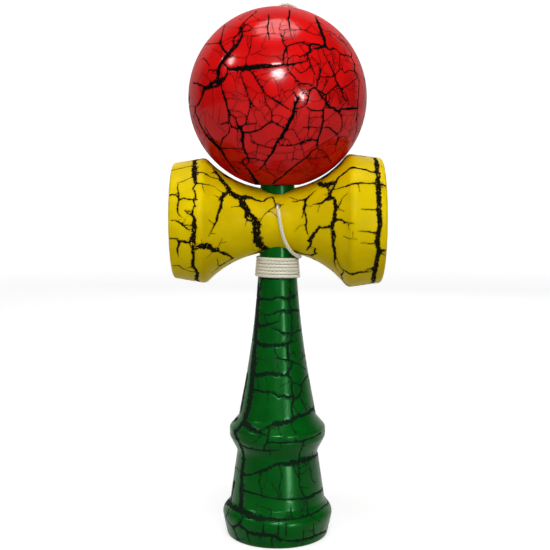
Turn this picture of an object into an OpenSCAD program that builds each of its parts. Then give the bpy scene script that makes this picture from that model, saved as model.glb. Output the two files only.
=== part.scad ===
// Kendama: a turned handle with a spike, a two-cup cross-piece, and a ball on a string.
// Millimetres, +Z up the spike, +X towards the big cup, -Y to the front.
// The origin is the centre of the base rim, on the surface that the toy stands on.

/* [Ball] */
// Diameter of the ball
ball_d = 59.5; // [54:0.5:66]
// Diameter of the ball's hole at its mouth
ball_hole_d = 14; // [13:0.5:20]
// Diameter of the ball's hole at its far end
ball_hole_end_d = 12.5; // [11:0.5:14]
// Depth of the hole's tapered part, from the bottom of the ball
ball_hole_depth = 45.5; // [44.5:0.5:47]
// Chamfer round the mouth of the hole
ball_hole_chamfer = 0.4; // [0.3:0.1:2]
// Diameter of the string hole at the top of the ball
ball_string_hole_d = 3; // [2:0.1:4]
// Clearance between the ball and the saddle that it rests in
ball_seat_gap = 0.1; // [0.1:0.1:0.8]

/* [Cross-piece] */
// Height of the cross-piece's axis above the base
cross_z = 107.5; // [104:0.5:112]
// Length of the cross-piece over both rims
cross_len = 69.8; // [64:0.1:74]
// Diameter of the waist between the cups
waist_d = 21; // [19:0.5:24]
// Outer diameter of the big cup at its rim
big_rim_d = 41.9; // [38:0.1:46]
// Radius of the hollow flare behind the big cup
big_flare_r = 29; // [27:0.5:36]
// Angle at which the big cup's outside narrows to its rim
big_taper = 7.8; // [3:0.1:12]
// Depth of the big cup
big_cup_depth = 9; // [6:0.5:12]
// Outer diameter of the small cup at its rim
small_rim_d = 38.6; // [35:0.1:42]
// Radius of the hollow flare behind the small cup
small_flare_r = 32.5; // [30:0.5:38]
// Angle at which the small cup's outside narrows to its rim
small_taper = 9.6; // [3:0.1:12]
// Depth of the small cup
small_cup_depth = 8; // [6:0.5:11]
// Thickness of the round lip on both cups
lip_d = 2.2; // [1.6:0.1:3.2]
// Rounding of the widest edge behind each cup
crest_round = 2.4; // [1:0.1:3]

/* [Ken] */
// Height of the ken, from the base to the tip of the spike
ken_h = 156.5; // [148:0.5:157.5]
// Diameter of the tip of the spike, before rounding
spike_tip_d = 7; // [5:0.1:9]
// Rounding of the spike's tip
spike_tip_round = 2.8; // [1:0.1:3.4]
// Diameter of the ken where it leaves the top of the cross-piece
spike_base_d = 11.5; // [10:0.1:12]
// Diameter of the ken where it enters the bottom of the cross-piece
neck_d = 12.2; // [11.5:0.1:13]
// Half the length of the tapered seat that the cross-piece sits on
seat_half = 12; // [11.5:0.5:13]
// Clearance between the seat and the cross-piece's hole
seat_gap = 0.05; // [0.02:0.01:0.2]
// Diameter where the two slopes of the grip would meet
grip_mid_d = 16.4; // [14:0.1:19]
// Height where the two slopes of the grip would meet
grip_mid_z = 67.8; // [64:0.1:72]
// Radius of the long hollow curve of the grip
grip_curve_r = 300; // [100:10:360]
// Diameter at the foot of the grip
grip_foot_d = 26.5; // [24:0.1:29]
// Height of the foot of the grip
grip_foot_z = 41.1; // [40:0.1:44]
// Rounding at the foot of the grip
grip_foot_round = 1.5; // [0.5:0.1:3]
// Diameter of the ring below the grip
ring_d = 32.7; // [30:0.1:35]
// Height of the ring's upper edge
ring_top_z = 37.5; // [36.5:0.1:39]
// Height of the ring's lower edge
ring_low_z = 34.3; // [33:0.1:36]
// Rounding of the ring's upper edge
ring_top_round = 1.6; // [0.4:0.1:2]
// Rounding of the ring's lower edge
ring_low_round = 2; // [0.4:0.1:2]
// Diameter of the groove below the ring
groove_d = 27.4; // [25:0.1:29]
// Height of the groove below the ring
groove_z = 29.3; // [26:0.1:31]
// Rounding of the groove below the ring
groove_round = 3; // [1:0.1:4]
// Diameter of the collar where it meets the base ring
collar_d = 32.4; // [30:0.1:34]
// Rounding where the collar meets the base ring
collar_round = 0.6; // [0.3:0.1:2]
// Height of the base ring
base_h = 12.2; // [11:0.1:14]
// Diameter of the base ring's shoulder, before rounding
base_d = 38; // [36:0.1:41]
// Height of the base ring's shoulder
base_shoulder_z = 8.5; // [7:0.1:10]
// Rounding of the base ring's shoulder
base_round = 3.5; // [1:0.1:4]
// Diameter of the foot that the ken stands on, before rounding
foot_d = 34.3; // [33:0.1:36]
// Rounding of the foot's outer edge
foot_round = 1; // [0.3:0.1:1.5]
// Diameter of the base cup at its mouth
base_cup_d = 28.8; // [25:0.1:30]
// Depth of the base cup
base_cup_depth = 7; // [5:0.5:9]

/* [String] */
// Diameter of the string
cord_d = 1.05; // [0.8:0.05:1.2]
// Whole turns of string round the neck
winding_turns = 6; // [2:1:8]
// Height from one turn to the next
winding_pitch = 1.12; // [1.1:0.02:1.6]
// Free gap shown between the turns
winding_gap = 0.45; // [0.42:0.01:0.6]
// Depth of the first turn below the cross-piece's axis
winding_drop = 12; // [12:0.1:14]
// Play between the neck and the string wound on it
winding_play = 0.05; // [0.05:0.01:0.3]
// Height of the string hole above the cross-piece's axis
string_hole_rise = 5; // [3:0.1:6]
// Diameter of the string hole through the cross-piece and the ken
string_hole_d = 1.8; // [1.6:0.1:3]
// Diameter of each knot
knot_d = 3.6; // [3:0.1:4]
// Length of each knot along the string
knot_len = 3; // [2.4:0.1:3.2]
// Clearance round the knot in the ken's pocket
knot_gap = 0.4; // [0.2:0.1:0.8]
// Clearance between the knot and its seat in the ken
knot_play = 0.1; // [0.05:0.05:0.3]
// Distance from the ken's axis to the knot's seat in the ken
knot_seat_y = 1.9; // [1.6:0.1:2]
// Diameter of the bead that keeps the knot from the string hole
bead_d = 6.2; // [5:0.1:6.6]
// Diameter of the bead's bore
bead_bore_d = 1.8; // [1.6:0.1:2.4]
// Clearance between the bead and its seat in the ball, and between the bead and its knot
bead_gap = 0.3; // [0.2:0.1:0.6]

/* [Hidden] */
$fn = 96;

// Half of the angle of a drill's point, as left at the end of the ball's hole
drill_half_angle = 59;
// Points in one rounded corner, and in one long arc
corner_steps = 8;
arc_steps = 24;
// Margin by which a cut runs past the face that it opens
cut_past = 1;

ball_r = ball_d / 2;
waist_r = waist_d / 2;
lip_r = lip_d / 2;
cross_half = cross_len / 2;

// A cup's numbers: rim radius, flare radius, taper slope, cup depth
big_cup = [big_rim_d / 2, big_flare_r, tan(big_taper), big_cup_depth];
small_cup = [small_rim_d / 2, small_flare_r, tan(small_taper), small_cup_depth];

// Ball: it rests on the higher of the waist and the two crests
function stretch(slope) = sqrt(1 + slope * slope);
function crest_offset(cup) = cup[0] + cup[2] * cross_half - crest_round * stretch(cup[2]) - waist_r - cup[1];
function crest_x(cup) =
    let (a = crest_offset(cup), s = cup[2], reach = cup[1] + crest_round, q = 1 + s * s)
    (a * s + sqrt(a * a * s * s - q * (a * a - reach * reach))) / q;
function crest_r(cup) = crest_offset(cup) - cup[2] * crest_x(cup) + waist_r + cup[1];
function seat_rise(cup) =
    crest_r(cup) + sqrt(max(0, pow(ball_r + ball_seat_gap + crest_round, 2) - pow(crest_x(cup), 2)));
ball_rise = max(waist_r + ball_r + ball_seat_gap, seat_rise(big_cup), seat_rise(small_cup));
ball_z = cross_z + ball_rise;
hole_end_z = ball_z - ball_r + ball_hole_depth;
hole_apex_z = hole_end_z + ball_hole_end_d / 2 / tan(drill_half_angle);

// Bead and knot inside the ball
bead_r = bead_d / 2;
bead_z = hole_apex_z - (bead_r + bead_gap) / sin(drill_half_angle);
bead_flat = sqrt(bead_r * bead_r - bead_bore_d * bead_bore_d / 4);
knot_top_z = bead_z - bead_flat - bead_gap;

// Seat of the cross-piece on the ken
seat_low_z = cross_z - seat_half;
seat_top_z = cross_z + seat_half;
string_hole_z = cross_z + string_hole_rise;
knot_end_y = knot_seat_y + knot_play;

// Base cup
base_cup_r = (base_cup_d * base_cup_d / 4 + base_cup_depth * base_cup_depth) / (2 * base_cup_depth);

// Winding: a helix on the tapering neck, drawn thinner than the string so that its turns stay apart
winding_d = winding_pitch - winding_gap;
winding_rings = 24;
winding_sides = 6;
winding_start = 20;
winding_over = 50;
winding_sweep = 360 * winding_turns + winding_over;
winding_top_z = cross_z - winding_drop;
neck_slope = (grip_mid_d - neck_d) / 2 / (seat_low_z - grip_mid_z);
function neck_r(z) = neck_d / 2 + max(0, seat_low_z - z) * neck_slope;
function helix(turned) =
    let (z = winding_top_z - winding_pitch * turned / 360, r = neck_r(z) + winding_play + cord_d / 2)
    [r * cos(winding_start + turned), r * sin(winding_start + turned), z];
function along(turned) = [-sin(winding_start + turned), cos(winding_start + turned), 0];
helix_points = [for (i = [0 : winding_sweep / 360 * winding_rings]) helix(i * 360 / winding_rings)];
winding_first = helix_points[0];
winding_last = helix(winding_sweep);
winding_route = concat(
    [winding_first - winding_d * along(0)], helix_points,
    [winding_last, winding_last + winding_d * along(winding_sweep)]);

// The string's free stretches, chosen by hand: heights are from the cross-piece's axis and the ball's centre
cord_sides = 8;
cord_steps = 2;
lead_points = [
    [0, -6, 5], [0, -8.6, 5], [0.1, -10.4, 4.6], [0.2, -11.5, 3.3], [0.5, -11.7, 1.6], [0.9, -11.5, -1],
    [1.9, -10.3, -5.2], [3.4, -8.4, -8.5], [4.8, -6.8, -10.4], [6.5, -4.7, -11.7], [7.6, -2.2, -12.1]];
tail_points = [
    [-1, 8.4, -59.2], [-1.6, 8.6, -57.2], [-1.5, 8.8, -54], [-1.1, 11.2, -48.3], [-0.1, 18, -34],
    [0.8, 24.6, -20], [1.4, 28, -13], [2, 30.2, -6], [2.7, 30.7, 2], [3.6, 28.8, 10.5], [4.7, 23.6, 19.3],
    [5.7, 17.4, 24.9], [6.7, 12, 27.7], [7.1, 8.6, 28.9], [7, 5.8, 29.6], [6.2, 3.4, 30.2], [4.8, 1.8, 30.7],
    [3.2, 0.9, 31], [1.6, 0.4, 30.9], [0.4, 0.1, 29.9], [0, 0, 28], [0, 0, 22]];
function raised(points, z) = [for (p = points) p + [0, 0, z]];
winding_in = winding_route[0];
winding_out = winding_route[len(winding_route) - 1];
lead_route = concat(
    [[0, knot_end_y, string_hole_z]], raised(lead_points, cross_z),
    [for (k = [2, 1, 0]) winding_in - k * cord_d * along(0)]);
tail_route = concat(
    [for (k = [0, 1, 2]) winding_out + k * cord_d * along(winding_sweep)], raised(tail_points, ball_z),
    [[0, 0, knot_top_z]]);

// Distances from each point of the winding to the turn beside it, with the tube's own width taken off
turn_gaps = [
    for (i = [0 : len(helix_points) - 1])
        for (j = [i + winding_rings / 2 : 1 : len(helix_points) - 1])
            norm(helix_points[i] - helix_points[j]) - winding_d];
echo(least_gap_between_turns = min(turn_gaps));

// Outlines: a list of corners [radius, height, fillet], each rounded by its own fillet
function unit(v) = v / norm(v);
function flat(p) = [p[0], p[1]];
function turn_between(from, to) = let (d = to - from) d > 180 ? d - 360 : d < -180 ? d + 360 : d;
function corner_arc(before, corner, after) =
    corner[2] == 0 ? [flat(corner)] :
    let (
        p = flat(corner),
        u = unit(flat(before) - p),
        v = unit(flat(after) - p),
        half = acos(u * v) / 2,
        centre = p + unit(u + v) * corner[2] / sin(half),
        first = p + u * corner[2] / tan(half) - centre,
        last = p + v * corner[2] / tan(half) - centre,
        from = atan2(first[1], first[0]),
        turn = turn_between(from, atan2(last[1], last[0])))
    [for (k = [0 : corner_steps])
        let (a = from + turn * k / corner_steps)
        centre + corner[2] * [cos(a), sin(a)]];
function rounded(corners) =
    let (n = len(corners))
    [for (i = [0 : n - 1]) each corner_arc(corners[(i + n - 1) % n], corners[i], corners[(i + 1) % n])];

// A smooth curve through the points of a route
function curve_point(a, b, c, d, t) =
    (2 * b + (c - a) * t + (2 * a - 5 * b + 4 * c - d) * t * t + (3 * b - a - 3 * c + d) * t * t * t) / 2;
function curve(p) =
    let (n = len(p), q = concat([2 * p[0] - p[1]], p, [2 * p[n - 1] - p[n - 2]]))
    concat(
        [for (i = [1 : n - 1]) for (k = [0 : cord_steps - 1])
            curve_point(q[i - 1], q[i], q[i + 1], q[i + 2], k / cord_steps)],
        [p[n - 1]]);

// A closed tube of one diameter along a list of points
function square_to(t, u) = unit(u - (u * t) * t);
function headings(p) =
    let (n = len(p)) [for (i = [0 : n - 1]) unit(p[min(i + 1, n - 1)] - p[max(i - 1, 0)])];
function sidesteps(t) =
    [for (i = 0, s = square_to(t[0], [0.3, 0.5, 0.8]); i < len(t);
        i = i + 1, s = i < len(t) ? square_to(t[i], s) : s) s];
module tube(path, d, sides) {
    t = headings(path);
    s = sidesteps(t);
    rings = len(path);
    points = [for (i = [0 : rings - 1]) for (k = [0 : sides - 1])
        let (a = 360 * k / sides) path[i] + d / 2 * (cos(a) * s[i] + sin(a) * cross(t[i], s[i]))];
    walls = [for (i = [0 : rings - 2]) for (k = [0 : sides - 1])
        let (a = i * sides + k, b = i * sides + (k + 1) % sides)
        each [[a, a + sides, b], [b, a + sides, b + sides]]];
    last = (rings - 1) * sides;
    ends = [for (k = [1 : sides - 2]) each [[0, k, k + 1], [last, last + k + 1, last + k]]];
    polyhedron(points = points, faces = concat(walls, ends));
}

// The two-wrap knot that stops each end of the string, standing on its lower end
module knot() {
    wrap_r = knot_len / 4;
    wrap_at = knot_d / 2 - wrap_r;
    rotate_extrude()
        union() {
            square([wrap_at, knot_len]);
            for (z = [wrap_r, knot_len - wrap_r])
                translate([wrap_at, z])
                    circle(wrap_r);
        }
}

// Turned handle: base cup, rings, grip, seat and spike, with the string's cross hole and knot pocket
module ken() {
    outline = rounded([
        [0, 0, 0],
        [foot_d / 2, 0, foot_round],
        [base_d / 2, base_shoulder_z, base_round],
        [collar_d / 2, base_h, collar_round],
        [groove_d / 2, groove_z, groove_round],
        [ring_d / 2, ring_low_z, ring_low_round],
        [ring_d / 2, ring_top_z, ring_top_round],
        [grip_foot_d / 2, grip_foot_z, grip_foot_round],
        [grip_mid_d / 2, grip_mid_z, grip_curve_r],
        [neck_d / 2, seat_low_z, 0],
        [spike_base_d / 2, seat_top_z, 0],
        [spike_tip_d / 2, ken_h, spike_tip_round],
        [0, ken_h, 0]]);
    color("forestgreen")
        difference() {
            rotate_extrude()
                polygon(outline);
            translate([0, 0, base_cup_depth - base_cup_r])
                sphere(base_cup_r);
            translate([0, 0, string_hole_z])
                rotate([90, 0, 0])
                    cylinder(d = string_hole_d, h = neck_d);
            translate([0, knot_seat_y + cut_past, string_hole_z])
                rotate([90, 0, 0])
                    cylinder(d = string_hole_d, h = knot_seat_y + 2 * cut_past);
            translate([0, knot_seat_y, string_hole_z])
                rotate([-90, 0, 0])
                    cylinder(d = knot_d + 2 * knot_gap, h = neck_d);
        }
}

// Outline of one end of the cross-piece, from its waist to its cup, as [radius, distance from the middle]
function cup_outline(cup) =
    let (
        s = cup[2],
        reach = cup[1],
        tip = [crest_r(cup), crest_x(cup)],
        flare_centre = [waist_r + reach, 0],
        to_tip = unit(tip - flare_centre),
        leave = atan2(to_tip[1], to_tip[0]),
        band = unit([1, s]),
        lip = lip_centre(cup))
    concat(
        [for (k = [0 : arc_steps]) let (a = 180 + (leave - 180) * k / arc_steps)
            flare_centre + reach * [cos(a), sin(a)]],
        [for (k = [1 : corner_steps])
            let (from = leave - 180, a = from + (atan2(s, 1) - from) * k / corner_steps)
            tip + crest_round * [cos(a), sin(a)]],
        [lip + lip_r * band, lip, [0, cup_centre(cup)]]);
function lip_centre(cup) =
    let (x = cross_half - lip_r) [cup[0] + cup[2] * lip_r - lip_r * stretch(cup[2]), x];
function cup_radius(cup) =
    let (q = cup[3] - lip_r) (pow(lip_centre(cup)[0], 2) + q * q - lip_r * lip_r) / (2 * cup[3]);
function cup_centre(cup) = cross_half - cup[3] + cup_radius(cup);

// One end of the cross-piece's section: flare, crest, round lip and hollow cup
module cup_section(cup) {
    difference() {
        polygon(concat([[0, 0]], cup_outline(cup)));
        translate([0, cup_centre(cup)])
            circle(cup_radius(cup));
    }
    translate(lip_centre(cup))
        circle(lip_r);
}

// Cross-piece with the big cup at +X and the small cup at -X
module cross_piece() {
    color("gold")
        difference() {
            translate([0, 0, cross_z])
                rotate([0, 90, 0])
                    rotate_extrude()
                        union() {
                            cup_section(big_cup);
                            mirror([0, 1])
                                cup_section(small_cup);
                        }
            translate([0, 0, seat_low_z])
                cylinder(d1 = neck_d + 2 * seat_gap, d2 = spike_base_d + 2 * seat_gap, h = 2 * seat_half);
            translate([0, 0, string_hole_z])
                rotate([90, 0, 0])
                    cylinder(d = string_hole_d, h = waist_d);
        }
}

// Ball with its tapered, drilled hole and the string hole through its top
module tama() {
    mouth_z = ball_z - ball_r;
    mouth_edge_z = ball_z - sqrt(ball_r * ball_r - ball_hole_d * ball_hole_d / 4);
    color("crimson")
        difference() {
            translate([0, 0, ball_z])
                sphere(ball_r);
            rotate_extrude()
                polygon([
                    [0, mouth_z - cut_past],
                    [ball_hole_d / 2 + ball_hole_chamfer + cut_past, mouth_z - cut_past],
                    [ball_hole_d / 2 + ball_hole_chamfer + cut_past, mouth_edge_z - cut_past],
                    [ball_hole_d / 2, mouth_edge_z + ball_hole_chamfer],
                    [ball_hole_end_d / 2, hole_end_z],
                    [0, hole_apex_z]]);
            translate([0, 0, hole_end_z])
                cylinder(d = ball_string_hole_d, h = ball_d);
        }
}

// Round bead that the string is knotted behind
module tama_bead() {
    color("burlywood")
        difference() {
            translate([0, 0, bead_z])
                sphere(bead_r);
            translate([0, 0, bead_z - bead_d])
                cylinder(d = bead_bore_d, h = 2 * bead_d);
        }
}

// Knot under the bead
module tama_knot() {
    color("ivory")
        translate([0, 0, knot_top_z - knot_len])
            knot();
}

// Knot that holds the string inside the ken
module ken_knot() {
    color("ivory")
        translate([0, knot_end_y, string_hole_z])
            rotate([-90, 0, 0])
                knot();
}

// String from its knot in the ken, out of the cross-piece and down to the winding
module string_lead() {
    color("ivory")
        tube(curve(lead_route), cord_d, cord_sides);
}

// String wound round the neck
module string_winding() {
    color("ivory")
        tube(winding_route, winding_d, winding_sides);
}

// String from the winding, up behind the ball and through its top to the bead
module string_tail() {
    color("ivory")
        tube(curve(tail_route), cord_d, cord_sides);
}

ken();
cross_piece();
tama();
tama_bead();
tama_knot();
ken_knot();
string_lead();
string_winding();
string_tail();
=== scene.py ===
import math
import random
from itertools import product

import bpy
import numpy as np
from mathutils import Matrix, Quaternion, Vector, kdtree
from mathutils.bvhtree import BVHTree


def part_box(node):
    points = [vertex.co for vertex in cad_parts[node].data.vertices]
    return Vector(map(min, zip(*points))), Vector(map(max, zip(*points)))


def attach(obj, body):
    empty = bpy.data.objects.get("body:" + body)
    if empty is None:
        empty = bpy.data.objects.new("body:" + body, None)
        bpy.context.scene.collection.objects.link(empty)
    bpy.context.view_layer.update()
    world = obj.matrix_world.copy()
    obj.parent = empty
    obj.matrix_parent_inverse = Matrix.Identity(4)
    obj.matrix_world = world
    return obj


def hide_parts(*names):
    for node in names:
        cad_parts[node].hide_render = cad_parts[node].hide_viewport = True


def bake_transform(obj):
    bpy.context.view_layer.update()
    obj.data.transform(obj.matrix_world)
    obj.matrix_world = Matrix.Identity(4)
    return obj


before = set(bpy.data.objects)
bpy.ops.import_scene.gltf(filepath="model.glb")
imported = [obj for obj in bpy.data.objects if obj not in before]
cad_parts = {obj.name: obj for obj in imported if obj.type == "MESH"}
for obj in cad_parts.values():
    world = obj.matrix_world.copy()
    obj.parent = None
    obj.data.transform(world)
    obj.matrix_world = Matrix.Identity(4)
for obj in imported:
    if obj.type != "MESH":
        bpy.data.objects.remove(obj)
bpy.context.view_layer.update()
mm = 0.001

# Camera: the photograph's own view, worked out from the ball's outline and the base rim's ellipse
photoView = {
    "side": 550,  # pixels, both ways
    "focal": 930,  # pixels
    "sensor": 36,  # mm
    "place": (-0.85, -314.84, 113.3),  # mm
    "pitchDown": 4.4,  # degrees
}


def addCamera():
    bpy.ops.object.select_all(action="DESELECT")
    bpy.ops.object.camera_add(
        location=Vector(photoView["place"]) * mm,
        rotation=(math.radians(90 - photoView["pitchDown"]), 0, 0),
    )
    camera = bpy.context.object
    camera.name = "photoCamera"
    camera.data.sensor_width = photoView["sensor"]
    camera.data.lens = photoView["focal"] * photoView["sensor"] / photoView["side"]
    camera.data.clip_start = 0.01
    bpy.context.scene.camera = camera


def pixelRay(x, y):
    pitch = math.radians(photoView["pitchDown"])
    forward = Vector((0, math.cos(pitch), -math.sin(pitch)))
    up = Vector((0, math.sin(pitch), math.cos(pitch)))
    across = Vector((x - photoView["side"] / 2, 0, 0)) / photoView["focal"]
    rise = up * (photoView["side"] / 2 - y) / photoView["focal"]
    return Vector(photoView["place"]) * mm, (forward + across + rise).normalized()


addCamera()
print("camera set")


# Tube along a path, with the strands of a twisted string as lobes of its section
def smoothRoute(points, steps):
    route = [Vector(p) for p in points]
    route = [2 * route[0] - route[1]] + route + [2 * route[-1] - route[-2]]
    smooth = []
    for a, b, c, d in zip(route, route[1:], route[2:], route[3:]):
        for k in range(steps):
            t = k / steps
            bend = (2 * a - 5 * b + 4 * c - d) * t * t + (3 * b - a - 3 * c + d) * t**3
            smooth.append((2 * b + (c - a) * t + bend) / 2)
    return smooth + [route[-2]]


def evenRoute(points, spacing):
    route = np.array([tuple(p) for p in points])
    run = np.concatenate([[0], np.cumsum(np.linalg.norm(np.diff(route, axis=0), axis=1))])
    places = np.linspace(0, run[-1], round(run[-1] / spacing) + 1)
    return np.stack([np.interp(places, run, route[:, k]) for k in range(3)], axis=1)


def sweepString(name, route, look, closed=False):
    count = len(route)
    sides = look["sides"]
    ahead = np.roll(route, -1, axis=0) - np.roll(route, 1, axis=0)
    if not closed:
        ahead[0] = route[1] - route[0]
        ahead[-1] = route[-1] - route[-2]
    ahead /= np.linalg.norm(ahead, axis=1)[:, None]
    side = np.cross(ahead[0], (0.3, 0.5, 0.8))  # any way that isn't along the string
    points = []
    run = 0.0
    for i in range(count):
        side = side - ahead[i] * np.dot(side, ahead[i])
        side /= np.linalg.norm(side)
        over = np.cross(ahead[i], side)
        if i:
            run += np.linalg.norm(route[i] - route[i - 1])
        for k in range(sides):
            angle = 2 * math.pi * k / sides
            lobe = math.cos(look["strands"] * (angle - 2 * math.pi * run / look["twist"]))
            radius = look["diameter"] / 2 * (1 + look["lobe"] * lobe)
            points.append((route[i] + radius * (math.cos(angle) * side + math.sin(angle) * over)) * mm)
    faces = []
    marks = []
    for i in range(count if closed else count - 1):
        j = (i + 1) % count
        for k in range(sides):
            m = (k + 1) % sides
            faces.append((i * sides + k, i * sides + m, j * sides + m, j * sides + k))
            marks += [(i, k), (i, k + 1), (i + 1, k + 1), (i + 1, k)]
    if not closed:
        faces.append(tuple(reversed(range(sides))))
        faces.append(tuple(range((count - 1) * sides, count * sides)))
        marks += [(0, 0)] * sides + [(count - 1, 0)] * sides
    mesh = bpy.data.meshes.new(name)
    mesh.from_pydata(points, [], faces)
    layer = mesh.uv_layers.new(name="stringRun")
    spacing = np.linalg.norm(route[1] - route[0])
    layer.data.foreach_set("uv", [v for i, k in marks for v in (i * spacing / look["twist"], k / sides)])
    mesh.shade_smooth()
    piece = bpy.data.objects.new(name, mesh)
    bpy.context.scene.collection.objects.link(piece)
    return piece


# String: one length from its knot in the ken, out of the cross-piece, round the neck and up behind the ball
stringSizes = {
    "diameter": 1.05,  # mm, as all lengths here
    "strands": 3,
    "lobe": 0.075,  # depth of the grooves between the strands, as a share of the radius
    "twist": 4.2,  # length of one turn of the twist
    "sides": 18,
    "spacing": 0.22,
    "length": 0.446,  # metres
    "knotTurn": (1.22, 0.95),  # knot's loop radius and half height
    "knotPoints": 90,
    "knotAway": 1.5,  # from the string's end to the middle of its knot
    "routeSteps": 12,  # between two points of the lead or the tail
}
winding = {
    "turns": 6,
    "pitch": 1.12,
    "startAngle": 20,  # degrees
    "extraAngle": 50,  # degrees
    "stepAngle": 5,  # degrees
    "topZ": 95.5,
    "neckRadius": 6.1,
    "neckSlope": (8.2 - 6.1) / (95.5 - 67.8),
    "play": 0.05,
    "leadOut": 0.67,
}
crossZ = 107.5
ballZ = 148.337
stringHoleZ = 112.5
kenKnotY = 2.0
ballKnotZ = 160.61
leadPoints = [
    (0, -6, 5), (0, -8.6, 5), (0.1, -10.4, 4.6), (0.2, -11.5, 3.3), (0.5, -11.7, 1.6), (0.9, -11.5, -1),
    (1.9, -10.3, -5.2), (3.4, -8.4, -8.5), (4.8, -6.8, -10.4), (6.5, -4.7, -11.7), (7.6, -2.2, -12.1),
]
tailPoints = [
    (-1, 8.4, -59.2), (-1.6, 8.6, -57.2), (-1.5, 8.8, -54), (-1.1, 11.2, -48.3), (-0.1, 18, -34),
    (0.8, 24.6, -20), (1.4, 28, -13), (2, 30.2, -6), (2.7, 30.7, 2), (3.6, 28.8, 10.5), (4.7, 23.6, 19.3),
    (5.7, 17.4, 24.9), (6.7, 12, 27.7), (7.1, 8.6, 28.9), (7, 5.8, 29.6), (6.2, 3.4, 30.2), (4.8, 1.8, 30.7),
    (3.2, 0.9, 31), (1.6, 0.4, 30.9), (0.4, 0.1, 29.9), (0, 0, 28), (0, 0, 22),
]


def windingPoint(turned):
    z = winding["topZ"] - winding["pitch"] * turned / 360
    neck = winding["neckRadius"] + max(0, winding["topZ"] - z) * winding["neckSlope"]
    radius = neck + winding["play"] + stringSizes["diameter"] / 2
    angle = math.radians(winding["startAngle"] + turned)
    return Vector((radius * math.cos(angle), radius * math.sin(angle), z))


def windingHeading(turned):
    angle = math.radians(winding["startAngle"] + turned)
    return Vector((-math.sin(angle), math.cos(angle), 0))


def stringRoute():
    sweep = 360 * winding["turns"] + winding["extraAngle"]
    cord = stringSizes["diameter"]
    windingIn = windingPoint(0) - winding["leadOut"] * windingHeading(0)
    windingOut = windingPoint(sweep) + winding["leadOut"] * windingHeading(sweep)
    lead = [(0, kenKnotY, stringHoleZ)] + [(x, y, z + crossZ) for x, y, z in leadPoints]
    lead += [windingIn - k * cord * windingHeading(0) for k in (2, 1, 0)]
    tail = [windingOut + k * cord * windingHeading(sweep) for k in (0, 1, 2)]
    tail += [(x, y, z + ballZ) for x, y, z in tailPoints] + [(0, 0, ballKnotZ)]
    coil = [windingPoint(turned) for turned in range(0, sweep + 1, winding["stepAngle"])]
    steps = stringSizes["routeSteps"]
    return evenRoute(smoothRoute(lead, steps) + coil + smoothRoute(tail, steps), stringSizes["spacing"])


def knotRoute(middle, turned):
    loop, rise = stringSizes["knotTurn"]
    count = stringSizes["knotPoints"]
    points = []
    for k in range(count):
        t = 2 * math.pi * k / count
        point = Vector((
            loop * (math.sin(t) + 2 * math.sin(2 * t)) / 3,
            loop * (math.cos(t) - 2 * math.cos(2 * t)) / 3,
            -rise * math.sin(3 * t),
        ))
        point.rotate(Quaternion((1, 0, 0), math.radians(turned)))
        points.append(point + Vector(middle))
    return np.array([tuple(p) for p in points])


stringPath = stringRoute()
kendamaString = sweepString("kendama_string", stringPath, stringSizes)
knotAway = stringSizes["knotAway"]
kenKnotPath = knotRoute((0, kenKnotY + knotAway, stringHoleZ), 90)
ballKnotPath = knotRoute((0, 0, ballKnotZ - knotAway), 0)
kenKnot = sweepString("ken_string_knot", kenKnotPath, stringSizes, closed=True)
ballKnot = sweepString("tama_string_knot", ballKnotPath, stringSizes, closed=True)
stringRun = float(np.linalg.norm(np.diff(stringPath, axis=0), axis=1).sum()) * mm
print("string made, length", round(stringRun, 4))


# Turned pieces: an outline of [radius, place along the axis, fillet] corners, spun round the axis
weldGap = 0.002  # mm
holeSides = 72


def arcPoints(centre, radius, fromAngle, toAngle, spacing):
    count = max(3, math.ceil(abs(toAngle - fromAngle) * radius / spacing))
    angles = [fromAngle + (toAngle - fromAngle) * k / count for k in range(count + 1)]
    return [(centre[0] + radius * math.cos(a), centre[1] + radius * math.sin(a)) for a in angles]


def roundedOutline(corners, spacing):
    points = []
    for i, (r, along, fillet) in enumerate(corners):
        corner = Vector((r, along))
        if fillet == 0:
            points.append((r, along))
            continue
        back = (Vector(corners[i - 1][:2]) - corner).normalized()
        on = (Vector(corners[i + 1][:2]) - corner).normalized()
        half = back.angle(on) / 2
        centre = corner + (back + on).normalized() * fillet / math.sin(half)
        first = corner + back * fillet / math.tan(half) - centre
        last = corner + on * fillet / math.tan(half) - centre
        start = math.atan2(first.y, first.x)
        turn = math.remainder(math.atan2(last.y, last.x) - start, 2 * math.pi)
        points += arcPoints(centre, fillet, start, start + turn, spacing)
    return points


def filledOutline(points, spacing):
    filled = [points[0]]
    for (ra, za), (rb, zb) in zip(points, points[1:]):
        count = max(1, math.ceil(math.hypot(rb - ra, zb - za) / spacing))
        filled += [(ra + (rb - ra) * k / count, za + (zb - za) * k / count) for k in range(1, count + 1)]
    return filled


def turnPiece(name, outline, axis, middle, steps):
    # the outline is drawn as a curve, made a mesh and spun, as on a lathe
    bpy.ops.object.select_all(action="DESELECT")
    bpy.ops.curve.primitive_nurbs_path_add()
    piece = bpy.context.object
    piece.name = name
    piece.data.splines.clear()
    drawn = piece.data.splines.new("POLY")
    drawn.points.add(len(outline) - 1)
    for point, (r, along) in zip(drawn.points, outline):
        x, z = (along, r) if axis == "X" else (r, along)
        point.co = (x * mm, 0, (z + middle) * mm, 1)
    bpy.ops.object.convert(target="MESH")
    bpy.ops.object.mode_set(mode="EDIT")
    bpy.ops.mesh.select_all(action="SELECT")
    turnAxis = (1, 0, 0) if axis == "X" else (0, 0, 1)
    bpy.ops.mesh.spin(steps=steps, angle=2 * math.pi, center=(0, 0, middle * mm), axis=turnAxis)
    bpy.ops.mesh.select_all(action="SELECT")
    bpy.ops.mesh.remove_doubles(threshold=weldGap * mm)
    bpy.ops.mesh.normals_make_consistent(inside=False)
    bpy.ops.object.mode_set(mode="OBJECT")
    piece.data.name = name
    piece.data.shade_smooth()
    return piece


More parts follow.
